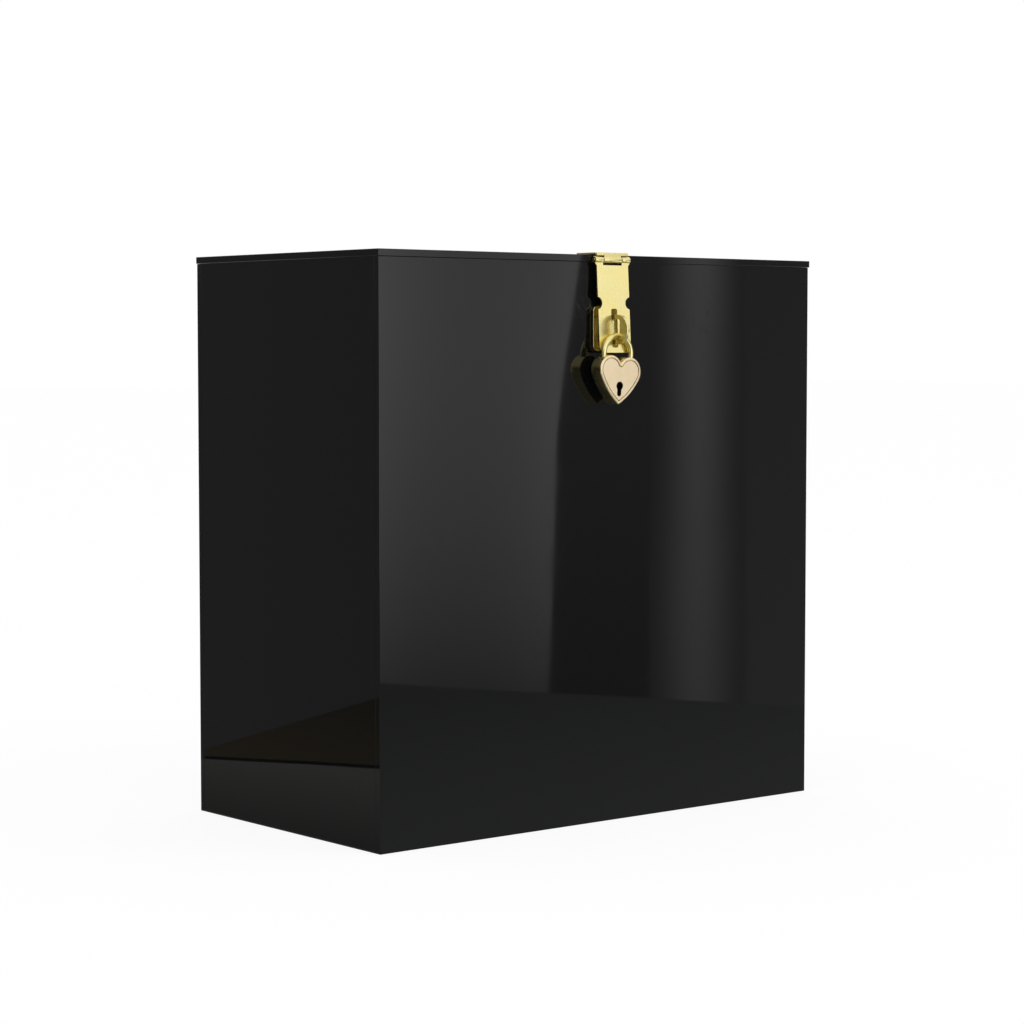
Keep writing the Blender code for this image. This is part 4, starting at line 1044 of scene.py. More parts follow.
def start_finish(key):
    """A fresh material with a Principled shader, and the piece's own coordinates."""
    _, tree = fresh_material(FINISH_NAMES[key])
    shader = add_node(tree, "ShaderNodeBsdfPrincipled")
    show(tree, shader)
    return tree, shader, add_node(tree, "ShaderNodeTexCoord").outputs["Object"]


def bump(tree, height, distance, strength=1.0, under=None):
    inputs = {"Height": height, "Distance": distance, "Strength": strength}
    if under is not None:
        inputs["Normal"] = under
    return add_node(tree, "ShaderNodeBump", inputs).outputs["Normal"]


def finish_surface(tree, shader, colour, rough, normal):
    connect(tree, shader.inputs["Base Color"], colour)
    connect(tree, shader.inputs["Roughness"], rough)
    connect(tree, shader.inputs["Normal"], normal)


def build_acrylic(finishes):
    """Polished black sheet: hairlines, a few specks of dust and a very slight waviness."""
    tree, shader, place = start_finish("acrylic")
    upright = use_group(tree, "Hairlines", place, turn=(0.4, 1.1, 0.3), density=240.0, thinness=0.0022)
    slanting = use_group(tree, "Hairlines", place, turn=(1.3, 0.2, 2.0), density=190.0, thinness=0.0022)
    scratches = maths(tree, "MAXIMUM", upright, slanting)
    dust = use_group(tree, "Specks", place, density=260.0, size=0.045, share=0.06)
    waves = use_group(tree, "Mottling", place, scale=14.0, detail=0.0)
    smears = use_group(tree, "Mottling", place, scale=32.0, detail=3.0)
    grey = tuple(min(part + 0.02, 1.0) for part in finishes.acrylic)
    rough = finishes.acrylic_gloss
    for mark, rise in ((smears, 0.012), (scratches, 0.05), (dust, 0.25)):
        rough = maths(tree, "MULTIPLY_ADD", mark, rise, rough)
    shader.inputs["IOR"].default_value = ACRYLIC_IOR
    wavy = bump(tree, waves, WAVE_HEIGHT)
    finish_surface(
        tree, shader, mix_colour(tree, dust, finishes.acrylic, grey), rough,
        bump(tree, scratches, -SCRATCH_DEPTH, 0.4, wavy))


def start_plate(key, colour, deep, worn_colour, worn_share, brushing, fineness, patches, reach, breaks):
    """The common part of the plated finishes: metal with brushing, uneven tone and worn edges."""
    tree, shader, place = start_finish(key)
    grain = use_group(tree, "Brushed grain", place, stretch=brushing, scale=fineness)
    tone = use_group(tree, "Mottling", place, scale=patches, detail=3.0)
    worn = use_group(tree, "Worn edges", place, reach=reach, breaks=breaks)
    shadowed = tuple(part * share for part, share in zip(colour, deep))
    toned = mix_colour(tree, tone, shadowed, colour)
    edged = mix_colour(tree, maths(tree, "MULTIPLY", worn, worn_share), toned, worn_colour)
    shader.inputs["Metallic"].default_value = 1.0
    return tree, shader, place, grain, tone, edged


def build_gold(finishes):
    """Polished gold plate: fine brushing, uneven tone, bright worn edges and dark pits."""
    tree, shader, place, grain, tone, edged = start_plate(
        "gold", finishes.gold, deep=(0.95, 0.92, 0.82), worn_colour=finishes.gold_worn, worn_share=0.6,
        brushing=(1.0, 1.0, 0.05), fineness=2600.0, patches=160.0, reach=0.00022, breaks=700.0)
    pits = use_group(tree, "Specks", place, density=1400.0, size=0.14, share=0.05)
    pitted = mix_colour(tree, maths(tree, "MULTIPLY", pits, 0.35), edged, (0.35, 0.25, 0.12))
    rough = maths(tree, "MULTIPLY_ADD", tone, 0.06, finishes.gold_rough - 0.06)
    rough = maths(tree, "MULTIPLY_ADD", grain, 0.08, rough)
    brushed = bump(tree, grain, GRAIN_HEIGHT, 0.6)
    finish_surface(tree, shader, pitted, rough, bump(tree, tone, WAVE_HEIGHT, 0.5, brushed))


def build_pale_gold(finishes):
    """The padlock's face: pale, finely brushed plate."""
    tree, shader, _, grain, _, edged = start_plate(
        "pale_gold", finishes.pale_gold, deep=(0.95, 0.94, 0.90), worn_colour=(0.95, 0.88, 0.70),
        worn_share=0.5, brushing=(0.06, 1.0, 1.0), fineness=3200.0, patches=240.0, reach=0.00018,
        breaks=900.0)
    rough = maths(tree, "MULTIPLY_ADD", grain, 0.12, finishes.pale_gold_rough - 0.06)
    finish_surface(tree, shader, edged, rough, bump(tree, grain, FACE_GRAIN_HEIGHT, 0.7))


def build_steel(finishes):
    """Plain plated steel for the padlock's works."""
    tree, shader, _, grain, _, edged = start_plate(
        "steel", finishes.steel, deep=(0.82, 0.82, 0.82), worn_colour=(0.8, 0.79, 0.77), worn_share=0.5,
        brushing=(0.1, 1.0, 1.0), fineness=2400.0, patches=300.0, reach=0.00015, breaks=1200.0)
    rough = maths(tree, "MULTIPLY_ADD", grain, 0.12, finishes.steel_rough)
    finish_surface(tree, shader, edged, rough, bump(tree, grain, GRAIN_HEIGHT, 0.6))


def build_inside(finishes):
    """The case's unpolished inside, painted near-black: painted shade in the chamber and the bores, with
    uneven tone and pits.
    """
    tree, shader, place = start_finish("inside")
    tone = use_group(tree, "Mottling", place, scale=500.0, detail=4.0)
    pits = use_group(tree, "Specks", place, density=1800.0, size=0.3, share=0.3)
    deep = tuple(part * 0.5 for part in finishes.inside)
    finish_surface(
        tree, shader, mix_colour(tree, tone, deep, finishes.inside),
        maths(tree, "MULTIPLY_ADD", tone, 0.2, 0.6), bump(tree, pits, -PIT_DEPTH, 0.6))


class CARD_BOX_OT_finishes(bpy.types.Operator):
    """Make the materials of the acrylic, the gold plate, the padlock's face and its works"""

    bl_idname = "card_box.finishes"
    bl_label = "Finishes"

    def execute(self, context):
        for build in (build_acrylic, build_gold, build_pale_gold, build_steel, build_inside):
            build(context.scene.card_box_finishes)
        return {"FINISHED"}


# Box

def make_sheet(name, outline, holes, matrix, body="box", slot=None):
    """A sheet with drilled holes and eased edges, from its left, right, bottom and top."""
    sizes = bpy.context.scene.card_box_sizes
    shell = bmesh.new()
    draw_rectangle(shell, *outline)
    if slot is not None:
        draw_rectangle(shell, *slot)
    for x, y in holes:
        draw_hole(shell, x, y, SCREW_RADIUS + SCREW_CLEARANCE)
    thicken(shell, sizes.sheet)
    round_edges(shell, sizes.edge_round)
    make_piece(name + "_sheet", [(shell, matrix)], body, [name + "_panel"], ("acrylic",))


class CARD_BOX_OT_walls(bpy.types.Operator):
    """Make the four walls and the bottom, glued edge to edge"""

    bl_idname = "card_box.walls"
    bl_label = "Walls and bottom"

    def execute(self, context):
        sizes = context.scene.card_box_sizes
        half = sizes.sheet / 2
        inner_x = SIDE - sizes.sheet - sizes.seam
        inner_y = BACK - sizes.sheet - sizes.seam
        front_holes = [(x, z) for x, _, z in staple_screw_places()]
        back_holes = [(-x, z) for x, _, z in hinge_screw_places()[1]]
        for name, reach, holes, place, x_axis in (
                ("front", SIDE, front_holes, (0.0, FRONT + half, 0.0), (1, 0, 0)),
                ("back", SIDE, back_holes, (0.0, BACK - half, 0.0), (-1, 0, 0)),
                ("left", inner_y, (), (half - SIDE, 0.0, 0.0), (0, -1, 0)),
                ("right", inner_y, (), (SIDE - half, 0.0, 0.0), (0, 1, 0))):
            outline = (-reach, reach, 0.0, WALL_TOP)
            make_sheet(name, outline, holes, frame_matrix(place, x_axis, (0, 0, 1)))
        bottom = (-inner_x, inner_x, -inner_y, inner_y)
        make_sheet("bottom", bottom, (), Matrix.Translation((0.0, 0.0, half)))
        return {"FINISHED"}


class CARD_BOX_OT_lid(bpy.types.Operator):
    """Make the lid with its card slot"""

    bl_idname = "card_box.lid"
    bl_label = "Lid"

    def execute(self, context):
        sizes = context.scene.card_box_sizes
        outline = (-SIDE - LID_OVERHANG, SIDE + LID_OVERHANG, FRONT - LID_OVERHANG, BACK)
        slot = (-sizes.slot_length / 2, sizes.slot_length / 2, -sizes.slot_width / 2, sizes.slot_width / 2,
                sizes.slot_corner, FINE_CORNER_STEPS)
        holes = [(x, y) for x, y, _ in hinge_screw_places()[0] + hasp_leaf_screw_places()]
        place = Matrix.Translation((0.0, 0.0, BOX_HEIGHT - sizes.sheet / 2))
        make_sheet("lid", outline, holes, place, "lid", slot)
        return {"FINISHED"}


# Hinges

class CARD_BOX_OT_back_hinges(bpy.types.Operator):
    """Make the two butt hinges at the back, with their pins, screws and nuts"""

    bl_idname = "card_box.back_hinges"
    bl_label = "Back hinges"

    def execute(self, context):
        thickness = context.scene.card_box_hardware.hinge_leaf
        sizes = (HINGE_WIDTH, HINGE_LEAF_LENGTH, thickness, HINGE_MIDDLE_KNUCKLE, HINGE_BARREL_RADIUS,
                 HINGE_PIN_RADIUS)
        screws = (HINGE_SCREW_REACH, HINGE_SCREW_SPREAD, 1)
        for side, centre in (("left", -HINGE_SPREAD / 2), ("right", HINGE_SPREAD / 2)):
            spot = Vector((centre, *back_hinge_axis()))
            lid_leaf = leaf_shells(sizes, True, frame_matrix(spot, (-1, 0, 0), (0, -1, 0)), *screws)
            make_piece(f"{side}_lid_leaf", lid_leaf, "lid", [f"hinge_{side}_lid_leaf"])
            wall_leaf = leaf_shells(sizes, False, frame_matrix(spot, (1, 0, 0), (0, 0, -1)), *screws)
            make_piece(f"{side}_wall_leaf", wall_leaf, "box", [f"hinge_{side}_wall_leaf"])
            hinge_pin(f"{side}_hinge_pin", HINGE_PIN_RADIUS, HINGE_WIDTH, spot, "box", f"hinge_{side}_pin")
        lid_places, wall_places = hinge_screw_places()
        make_fasteners("hinge_lid", lid_places, (0, 0, -1), thickness, "lid")
        make_fasteners("hinge_wall", wall_places, (0, -1, 0), thickness, "box")
        return {"FINISHED"}


# Hasp

class CARD_BOX_OT_hasp_leaf(bpy.types.Operator):
    """Make the hasp's leaf on the lid, with its pin, screws and nuts"""

    bl_idname = "card_box.hasp_leaf"
    bl_label = "Hasp leaf"

    def execute(self, context):
        thickness = context.scene.card_box_hardware.hasp_leaf
        sizes = (HASP_LEAF_WIDTH, HASP_LEAF_LENGTH, thickness, HASP_MIDDLE_KNUCKLE, HASP_BARREL_RADIUS,
                 HASP_PIN_RADIUS)
        axis = hasp_axis()
        leaf = leaf_shells(
            sizes, True, frame_matrix(axis, (-1, 0, 0), (0, 1, 0)), HASP_LEAF_SCREW_REACH,
            HASP_LEAF_SCREW_SPREAD, -1, HASP_BARREL_DROP)
        make_piece("hasp_lid_leaf", leaf, "lid", ["hasp_leaf"])
        hinge_pin("hasp_barrel_pin", HASP_PIN_RADIUS, HASP_BARREL_WIDTH, axis, "lid", "hasp_pin")
        make_fasteners("hasp_leaf", hasp_leaf_screw_places(), (0, 0, -1), thickness, "lid")
        return {"FINISHED"}


class CARD_BOX_OT_strap(bpy.types.Operator):
    """Make the hasp's swinging strap, with its slot, its narrowed waist and its two knuckles"""

    bl_idname = "card_box.strap"
    bl_label = "Hasp strap"

    def execute(self, context):
        hardware = context.scene.card_box_hardware
        half = STRAP_WIDTH / 2
        shoulder = HASP_BARREL_WIDTH / 2
        window = HASP_MIDDLE_KNUCKLE / 2 + KNUCKLE_GAP
        bite_x = half + STRAP_WAIST_RADIUS - STRAP_WAIST_DEPTH
        reach = math.acos((bite_x - half) / STRAP_WAIST_RADIUS)
        length = strap_length()
        shell = bmesh.new()
        pen = Outline(
            shell, (0.0, -STRAP_WINDOW_DEPTH), (window, -STRAP_WINDOW_DEPTH), (window, 0.0),
            (shoulder, 0.0), (shoulder, -HASP_BARREL_RADIUS), (half, -STRAP_SHOULDER),
            (half, -STRAP_WAIST_REACH + STRAP_WAIST_RADIUS * math.sin(reach)))
        pen.turn(bite_x, -STRAP_WAIST_REACH, 2 * reach, WAIST_STEPS)
        pen.line((half, -length + STRAP_END_CORNER))
        pen.turn(half - STRAP_END_CORNER, -length + STRAP_END_CORNER, -QUARTER, FINE_CORNER_STEPS)
        pen.line((0.0, -length))
        mirror_half(shell)
        slot_top, slot_bottom = strap_slot_reaches()
        slot_half = EAR_THICKNESS / 2 + SLOT_BESIDE_EAR
        draw_rectangle(shell, -slot_half, slot_half, -slot_bottom, -slot_top, STRAP_SLOT_CORNER)
        thicken(shell, hardware.strap)
        round_edges(shell, hardware.edge_round)
        upright = frame_matrix(hasp_axis(), (1, 0, 0), (0, 0, 1))
        place = upright @ Matrix.Rotation(-hardware.strap_tilt, 4, "X")
        plate = (shell, place @ Matrix.Translation((0.0, 0.0, STRAP_PROUD - hardware.strap / 2)))
        spans = outer_spans(HASP_BARREL_WIDTH, HASP_MIDDLE_KNUCKLE)
        barrels = knuckles(spans, place, HASP_BARREL_RADIUS, HASP_PIN_RADIUS)
        make_piece("strap_plate", [plate, *barrels], "strap", ["hasp_strap"])
        return {"FINISHED"}


def staple_base_shell(hardware):
    """The base plate in its own plane, with its two countersunk holes."""
    middle = staple_middle()
    spots = [(x, z) for x, _, z in staple_screw_places()]
    hole = hardware.screw_head + HEAD_CLEARANCE
    base = bmesh.new()
    draw_rectangle(
        base, -STAPLE_WIDTH / 2, STAPLE_WIDTH / 2, middle - STAPLE_HEIGHT / 2, middle + STAPLE_HEIGHT / 2,
        STAPLE_CORNER, FINE_CORNER_STEPS)
    for x, z in spots:
        draw_hole(base, x, z, hole)
    thicken(base, hardware.staple)
    for x, z in spots:
        narrow_hole(base, x, z, hole, SCREW_RADIUS + SCREW_CLEARANCE, -1)
    round_edges(base, hardware.edge_round)
    return base


def staple_ear_shell(hardware):
    """The ear from the side: a D whose root sinks into the base plate, with the shackle's hole."""
    low, high = ear_heights()
    radius = EAR_HEIGHT / 2
    root = SEAT_GAP + STAPLE_THICKNESS / 2
    ear = bmesh.new()
    pen = Outline(ear, (root, low), (EAR_REACH - radius, low))
    pen.turn(EAR_REACH - radius, (low + high) / 2, math.pi, EAR_STEPS)
    pen.line((root, high), (root, low))
    far = shackle_place()[0] + SHACKLE_WIRE_RADIUS + EAR_HOLE_CLEARANCE
    draw_rectangle(
        ear, far - EAR_HOLE_DEPTH, far, low + EAR_WALL_BELOW, high - EAR_WALL_ABOVE, EAR_HOLE_CORNER,
        EAR_HOLE_STEPS)
    thicken(ear, hardware.ear)
    round_edges(ear, hardware.edge_round)
    return ear


class CARD_BOX_OT_staple(bpy.types.Operator):
    """Make the staple: a base plate on the front panel, and the ear that the padlock goes through"""

    bl_idname = "card_box.staple"
    bl_label = "Staple"

    def execute(self, context):
        hardware = context.scene.card_box_hardware
        face = FRONT - SEAT_GAP - hardware.staple / 2
        shells = [
            (staple_base_shell(hardware), frame_matrix((0.0, face, 0.0), (1, 0, 0), (0, 0, 1))),
            (staple_ear_shell(hardware), frame_matrix((0.0, FRONT, 0.0), (0, -1, 0), (0, 0, 1)))]
        make_piece("staple_plate", shells, "box", ["staple"])
        make_fasteners("staple", staple_screw_places(), (0, 1, 0), hardware.staple, "box")
        return {"FINISHED"}


# Padlock

def shackle_shell(wire, toe, heel):
    """A bent wire from the toe's end to the heel's. The notch is a flat on the toe's inner side."""
    shell = bmesh.new()
    bmesh.ops.create_circle(
        shell, cap_ends=True, radius=wire, segments=HOLE_STEPS,
        matrix=Matrix.Translation((-SHACKLE_RADIUS, 0.0, toe)))
    end = shell.faces[:]
    notch_low = toe + TOE_LIP
    notch_high = notch_low + NOTCH_HEIGHT
    height = toe
    for ring in (notch_low, notch_low + NOTCH_SLOPE, notch_high - NOTCH_SLOPE, notch_high, -SHACKLE_RADIUS):
        end = only(push_faces(shell, end, ring - height), bmesh.types.BMFace)
        height = ring
    for vert in shell.verts:
        if notch_low + NOTCH_SLOPE / 2 < vert.co.z < notch_high - NOTCH_SLOPE / 2:
            vert.co.x = min(vert.co.x, -SHACKLE_RADIUS)
    last = spin(shell, end, (0.0, 0.0, -SHACKLE_RADIUS), (0.0, 1.0, 0.0), math.pi, ARCH_STEPS)
    push_faces(shell, only(last, bmesh.types.BMFace), heel + SHACKLE_RADIUS)
    weld(shell)
    bmesh.ops.recalc_face_normals(shell, faces=shell.faces[:])
    ends = [edge for edge in sharp_edges(shell)
            if all(min(abs(vert.co.z - toe), abs(vert.co.z - heel)) < WELD_DISTANCE for vert in edge.verts)]
    round_edges(shell, SHACKLE_END_ROUND, ends)
    return shell


class CARD_BOX_OT_shackle(bpy.types.Operator):
    """Make the padlock's shackle: a bent wire with a notched toe on the left and a collar on the heel"""

    bl_idname = "card_box.shackle"
    bl_label = "Shackle"

    def execute(self, context):
        toe, heel, _ = shackle_heights()
        wire = shackle_shell(context.scene.card_box_padlock.wire, toe, heel)
        collar = turned_shell(
            SHACKLE_COLLAR_RADIUS, 0.0, SHACKLE_COLLAR_HEIGHT, HARDWARE_ROUND, HOLE_STEPS)
        seat = Matrix.Translation((SHACKLE_RADIUS, 0.0, heel + SHACKLE_COLLAR_HEIGHT / 2))
        shells = [(wire, lock_frame()), (collar, lock_frame() @ seat)]
        make_piece("shackle_wire", shells, "shackle", ["lock_shackle"])
        return {"FINISHED"}


def case_shell():
    """The heart-shaped cup: a raised rim whose front takes a painted highlight, a recess for the cover and a
    chamber painted dark as shade.
    """
    lock = bpy.context.scene.card_box_padlock
    half = LOCK_THICKNESS / 2
    shell = bmesh.new()
    outer = draw_heart(shell, 0.0, half)
    rim = draw_heart(shell, lock.rim, half)
    fill_outlines(shell, outer + rim)
    step, _ = drop_walls(shell, rim, lock.recess)
    chamber = draw_heart(shell, LOCK_WALL, half - lock.recess)
    fill_outlines(shell, step + chamber)
    floor, walls = drop_walls(shell, chamber, LOCK_THICKNESS - lock.recess - LOCK_BACK_WALL)
    # The chamber's walls and floor take the near-black inside finish: painted shade.
    for face in walls + fill_outlines(shell, floor):
        face.material_index = CASE_FINISHES.index("inside")
    back, _ = drop_walls(shell, outer, LOCK_THICKNESS)
    fill_outlines(shell, back)
    bmesh.ops.recalc_face_normals(shell, faces=shell.faces[:])
    round_edges(shell, lock.rim_bevel, outer + back)
    round_edges(shell, HARDWARE_ROUND, [edge for edge in rim if edge.is_valid])
    shell.normal_update()
    # Painted highlight: the rim's front-facing faces take the face's pale finish.
    for face in shell.faces:
        if face.normal.z > RIM_HIGHLIGHT_FACING and face.calc_center_median().z > half - lock.recess / 2:
            face.material_index = CASE_FINISHES.index("pale_gold")
    return shell


def bored(mesh_edit, drills):
    """A mesh with round bores cut into it, one for each place, radius, top and bottom."""
    materials = [finish(key) for key in CASE_FINISHES]
    blank = mesh_object("blank", mesh_edit, materials)
    scraps = [blank]
    for x, radius, top, bottom in drills:
        drill = bmesh.new()
        place = Matrix.Translation((x, (top + bottom) / 2, 0.0)) @ Matrix.Rotation(QUARTER, 4, "X")
        bmesh.ops.create_cone(
            drill, cap_ends=True, segments=BARREL_STEPS, radius1=radius, radius2=radius,
            depth=top - bottom, matrix=place)
        # The bores take the near-black inside finish: painted shade.
        for face in drill.faces:
            face.material_index = CASE_FINISHES.index("inside")
            face.smooth = True
        tool = mesh_object(f"drill_{len(scraps)}", drill, materials)
        cut = blank.modifiers.new("Bore", "BOOLEAN")
        cut.object = tool
        cut.solver = "EXACT"
        scraps.append(tool)
    bpy.context.view_layer.update()
    graph = bpy.context.evaluated_depsgraph_get()
    result = bmesh.new()
    result.from_mesh(blank.evaluated_get(graph).to_mesh())
    for scrap in scraps:
        mesh = scrap.data
        bpy.data.objects.remove(scrap, do_unlink=True)
        bpy.data.meshes.remove(mesh)
    return result


class CARD_BOX_OT_lock_case(bpy.types.Operator):
    """Make the padlock's heart-shaped case with its bores for the shackle"""

    bl_idname = "card_box.lock_case"
    bl_label = "Padlock case"

    def execute(self, context):
        radius = context.scene.card_box_padlock.wire + BORE_CLEARANCE
        toe, heel, surface = shackle_heights()
        drills = [(x, radius, surface + BORE_RISE, end - BORE_CLEARANCE)
                  for x, end in ((-SHACKLE_RADIUS, toe), (SHACKLE_RADIUS, heel))]
        shells = [(bored(case_shell(), drills), lock_plate_frame(0.0))]
        make_piece("heart_case", shells, "padlock_body", ["lock_case"], CASE_FINISHES)
        return {"FINISHED"}


class CARD_BOX_OT_lock_face(bpy.types.Operator):
    """Make the padlock's pale face plate with the keyhole"""

    bl_idname = "card_box.lock_face"
    bl_label = "Padlock face"

    def execute(self, context):
        lock = context.scene.card_box_padlock
        shell = bmesh.new()
        draw_heart(shell, LOCK_RIM + SEAT_GAP, 0.0)
        draw_keyhole(shell, lock.keyhole)
        thicken(shell, lock.cover)
        round_edges(shell, HARDWARE_ROUND)
        depth = -LOCK_THICKNESS / 2 + LOCK_RECESS - SEAT_GAP - lock.cover / 2
        shells = [(shell, lock_plate_frame(depth))]
        make_piece("heart_face", shells, "padlock_body", ["lock_cover"], ("pale_gold",))
        return {"FINISHED"}


class CARD_BOX_OT_lock_works(bpy.types.Operator):
    """Give the latch and its spring their plated steel"""

    bl_idname = "card_box.lock_works"
    bl_label = "Padlock works"

    def execute(self, context):
        for name in ("lock_latch", "latch_spring"):
            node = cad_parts[name]
            node.data.materials.clear()
            node.data.materials.append(finish("steel"))
        return {"FINISHED"}


# Stage

def stage_object(name, mesh_edit, material):
    obj = mesh_object(name, mesh_edit, [material])
    return obj


def make_card(name, corners, matrix, material):
    """A flat card from its corners, which only reflections see."""
    shell = bmesh.new()
    Outline(shell, *corners, corners[0])
    weld(shell)
    fill_outlines(shell, shell.edges[:])
    shell.transform(matrix)
    card = stage_object(name, shell, material)
    card.visible_camera = False
    card.visible_diffuse = False
    card.visible_transmission = False
    card.visible_volume_scatter = False
    card.visible_shadow = False


def start_card(name):
    """A fresh material for a card, and the parts of a place on it."""
    material, tree = fresh_material(name)
    place = add_node(tree, "ShaderNodeTexCoord").outputs["Object"]
    return material, tree, add_node(tree, "ShaderNodeSeparateXYZ", {0: place}).outputs


def glow(tree, colour, strength):
    return add_node(tree, "ShaderNodeEmission", {"Color": colour, "Strength": strength})


def glow_material(name, colour, axis, low, high, low_strength, high_strength):
    """A card that glows, with its strength running along one axis."""
    material, tree, parts = start_card(name)
    strength = map_value(tree, parts[axis], low, high, low_strength, high_strength, "LINEAR")
    show(tree, glow(tree, colour, strength))
    return material


def light_material(name):
    """The light card: brighter towards the top, and weakest along a slanting line near its middle."""
    material, tree, parts = start_card(name)
    height = parts[2]
    middle, lean, rise = LIGHT_CARD_DIP
    level, slope, curve = LIGHT_CARD_LEVEL
    strength = maths(tree, "MULTIPLY_ADD", maths(tree, "MULTIPLY_ADD", height, curve, slope), height, level)
    off_line = maths(tree, "SUBTRACT", parts[0], maths(tree, "MULTIPLY_ADD", height, lean, middle))
    gain = maths(tree, "MULTIPLY_ADD", maths(tree, "MULTIPLY", off_line, off_line), rise, 1.0)
    show(tree, glow(tree, (0.985, 0.985, 1.0), maths(tree, "MULTIPLY", strength, gain)))
    return material


def band_material(name):
    """A soft upright band, brightest along its middle."""
    material, tree, parts = start_card(name)
    off_middle = maths(tree, "ABSOLUTE", maths(tree, "SUBTRACT", parts[0], BAND_MIDDLE))
    share = map_value(tree, off_middle, BAND_HALF, 0.0)
    level = map_value(tree, parts[2], *BAND_LEVEL, "LINEAR")
    strength = map_value(tree, share, 0.0, 1.0, BAND_EDGE_STRENGTH, level, "LINEAR")
    show(tree, glow(tree, WHITE, strength))
    return material


def floor_material(colour):
    """A white floor that keeps a faint shadow."""
    material, tree = fresh_material("white_floor")
    matt = add_node(tree, "ShaderNodeBsdfDiffuse", {"Color": colour})
    seen = add_node(tree, "ShaderNodeLightPath").outputs["Is Camera Ray"]
    mixed = add_node(
        tree, "ShaderNodeMixShader", {
            0: maths(tree, "MULTIPLY", seen, FLOOR_GLOW_SHARE), 1: matt.outputs[0],
            2: glow(tree, WHITE, FLOOR_GLOW).outputs[0]})
    show(tree, mixed)
    return material


def build_world(sky):
    """White for the camera, soft light all round, and a dim low surround in reflections."""
    world = bpy.data.worlds.get("studio") or bpy.data.worlds.new("studio")
    bpy.context.scene.world = world
    world.use_nodes = True
    tree = world.node_tree
    tree.nodes.clear()
    direction = add_node(tree, "ShaderNodeTexCoord").outputs["Generated"]
    height = add_node(tree, "ShaderNodeSeparateXYZ", {0: direction}).outputs[2]
    mirrored = maths(
        tree, "ADD", map_value(tree, height, *SURROUND_ABOVE), map_value(tree, height, *SURROUND_BELOW))
    path = add_node(tree, "ShaderNodeLightPath").outputs
    level = mix_value(tree, path["Is Glossy Ray"], sky, mirrored)
    shown = mix_value(tree, path["Is Camera Ray"], level, 1.0)
    background = add_node(tree, "ShaderNodeBackground", {"Color": WHITE, "Strength": shown})
    show(tree, background, "ShaderNodeOutputWorld")


def add_lamp(name, place, target, width, height, power):
    light = bpy.data.lights.new(name, "AREA")
    light.shape = "RECTANGLE"
    light.size = width
    light.size_y = height
    light.energy = power
    lamp = new_object(name, light)
    lamp.location = place
    look = Vector(target) - Vector(place)
    lamp.rotation_euler = look.to_track_quat("-Z", "Y").to_euler()
    lamp.visible_glossy = False


def light_card_side():
    """The light card's right side, from its bottom up: it leans, and bends outwards above the table."""
    middle, lean, bend = LIGHT_CARD_EDGE
    heights = [CARDS_BOTTOM + (CARDS_TOP - CARDS_BOTTOM) * step / LIGHT_CARD_STEPS
               for step in range(LIGHT_CARD_STEPS + 1)]
    return [(middle + lean * height + bend * max(height, 0.0) ** 2, height) for height in heights]


def upright_card(name, left, right, bottom, top, material, depth=0.0):
    """A card in front of the box. Its right side may be a list of corners from the bottom up."""
    side = right if isinstance(right, list) else [(right, bottom), (right, top)]
    place = frame_matrix((0.0, CARD_DISTANCE - depth, 0.0), (1, 0, 0), (0, 0, 1))
    make_card(name, [*side, (left, top), (left, bottom)], place, material)


def build_cards():
    """Studio cards that only the gloss sees: light and dim ones, a soft band and the table's top, with a
    painted shadow near the box and a painted shadow line along the table's rim.
    """
    full = (CARDS_BOTTOM, CARDS_TOP)
    high = (HIGH_CARD_BOTTOM, HIGH_CARD_TOP)
    upright_card("light_card", LIGHT_CARD_LEFT, light_card_side(), *full, light_material("light_card"))
    for name, left, right, heights, depth, look in (
            ("dim_card", CARDS_LEFT, RIGHT_CARD_LEFT, full, CARD_GAP, DIM_CARD_LOOK),
            ("right_card", RIGHT_CARD_LEFT, CARDS_RIGHT, full, CARD_GAP, RIGHT_CARD_LOOK),
            ("high_card", CARDS_LEFT, CARDS_RIGHT, high, 0.0, HIGH_CARD_LOOK),
            ("side_card", CARDS_LEFT, LIGHT_CARD_LEFT, full, 0.0, SIDE_CARD_LOOK)):
        upright_card(name, left, right, *heights, glow_material(name, *look), depth)
    upright_card(
        "soft_band", BAND_MIDDLE - BAND_HALF, BAND_MIDDLE + BAND_HALF, *full, band_material("soft_band"))
    for name, corners, height, look in (
            ("table_card", TABLE_CORNERS, 0.0, TABLE_LOOK),
            # The table's reflection with a painted shadow, dimmer towards the box.
            ("table_near_shadow_card", TABLE_NEAR_CORNERS, CARD_LIFT, TABLE_NEAR_SHADOW_LOOK),
            # A painted shadow line along the table's rear edge.
            ("table_rim_shadow_card", TABLE_RIM_SHADOW_CORNERS, CARD_LIFT, TABLE_RIM_SHADOW_LOOK),
            ("dark_wedge", WEDGE_CORNERS, 0.0, WEDGE_LOOK)):
        make_card(name, corners, Matrix.Translation((0.0, 0.0, height)), glow_material(name, *look))


class CARD_BOX_OT_stage(bpy.types.Operator):
    """Make the floor, the reflection cards, the lamps, the surround and the camera"""

    bl_idname = "card_box.stage"
    bl_label = "Stage"

    def execute(self, context):
        stage = context.scene.card_box_stage
        ground = bmesh.new()
        bmesh.ops.create_grid(
            ground, x_segments=1, y_segments=1, size=FLOOR_REACH,
            matrix=Matrix.Translation((0.0, 0.0, -FLOOR_DROP)))
        floor = stage_object("studio_floor", ground, floor_material(stage.floor))
        floor.visible_glossy = False
        build_cards()
        build_world(stage.sky)
        add_lamp("key_lamp", **KEY_LAMP, power=stage.key)
        add_lamp("fill_lamp", **FILL_LAMP, power=stage.fill)

        camera_data = bpy.data.cameras.new("camera")
        camera_data.lens = CAMERA_LENS
        camera_data.sensor_width = CAMERA_SENSOR
        camera = new_object("camera", camera_data)
        camera.location = CAMERA_PLACE
        camera.rotation_euler = (QUARTER - CAMERA_DROP, 0.0, CAMERA_TURN)
        context.scene.camera = camera
        context.scene.view_settings.view_transform = "Standard"
        return {"FINISHED"}


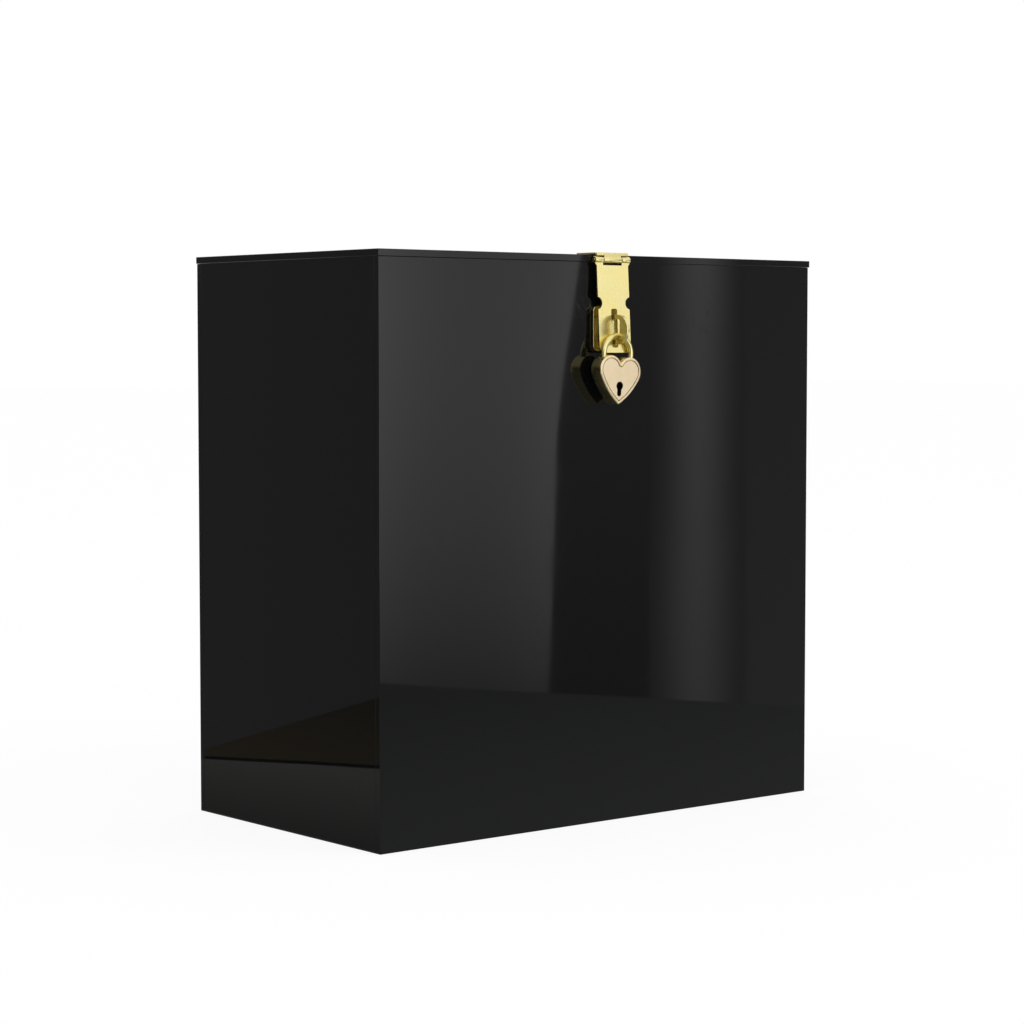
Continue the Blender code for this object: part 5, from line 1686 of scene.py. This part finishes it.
class CARD_BOX_PT_panel(bpy.types.Panel):
    """The box's sizes, colours and pieces."""

    bl_idname = "CARD_BOX_PT_panel"
    bl_label = "Card Box"
    bl_space_type = "VIEW_3D"
    bl_region_type = "UI"
    bl_category = "Card Box"

    def draw(self, context):
        for label, name, group in GROUPS:
            box = self.layout.box()
            box.label(text=label)
            for key in group.__annotations__:
                box.prop(getattr(context.scene, name), key)
        for operator in OPERATORS:
            self.layout.operator(operator.bl_idname)


GROUPS = (
    ("Box", "card_box_sizes", CardBoxSizes),
    ("Hardware", "card_box_hardware", CardBoxHardware),
    ("Padlock", "card_box_padlock", CardBoxPadlock),
    ("Finishes", "card_box_finishes", CardBoxFinishes),
    ("Stage", "card_box_stage", CardBoxStage),
)
OPERATORS = (
    CARD_BOX_OT_finishes,
    CARD_BOX_OT_walls,
    CARD_BOX_OT_lid,
    CARD_BOX_OT_back_hinges,
    CARD_BOX_OT_hasp_leaf,
    CARD_BOX_OT_strap,
    CARD_BOX_OT_staple,
    CARD_BOX_OT_shackle,
    CARD_BOX_OT_lock_case,
    CARD_BOX_OT_lock_face,
    CARD_BOX_OT_lock_works,
    CARD_BOX_OT_stage,
)
CLASSES = (*(group for _, _, group in GROUPS), *OPERATORS, CARD_BOX_PT_panel)


def register():
    for kind in CLASSES:
        bpy.utils.register_class(kind)
    for _, name, group in GROUPS:
        setattr(bpy.types.Scene, name, PointerProperty(type=group))


def unregister():
    for _, name, _ in GROUPS:
        delattr(bpy.types.Scene, name)
    for kind in reversed(CLASSES):
        bpy.utils.unregister_class(kind)


def main():
    register()
    bpy.ops.card_box.finishes()
    bpy.ops.card_box.walls()
    bpy.ops.card_box.lid()
    bpy.ops.card_box.back_hinges()
    bpy.ops.card_box.hasp_leaf()
    bpy.ops.card_box.strap()
    bpy.ops.card_box.staple()
    bpy.ops.card_box.shackle()
    bpy.ops.card_box.lock_case()
    bpy.ops.card_box.lock_face()
    bpy.ops.card_box.lock_works()
    bpy.ops.card_box.stage()


if __name__ == "__main__":
    main()
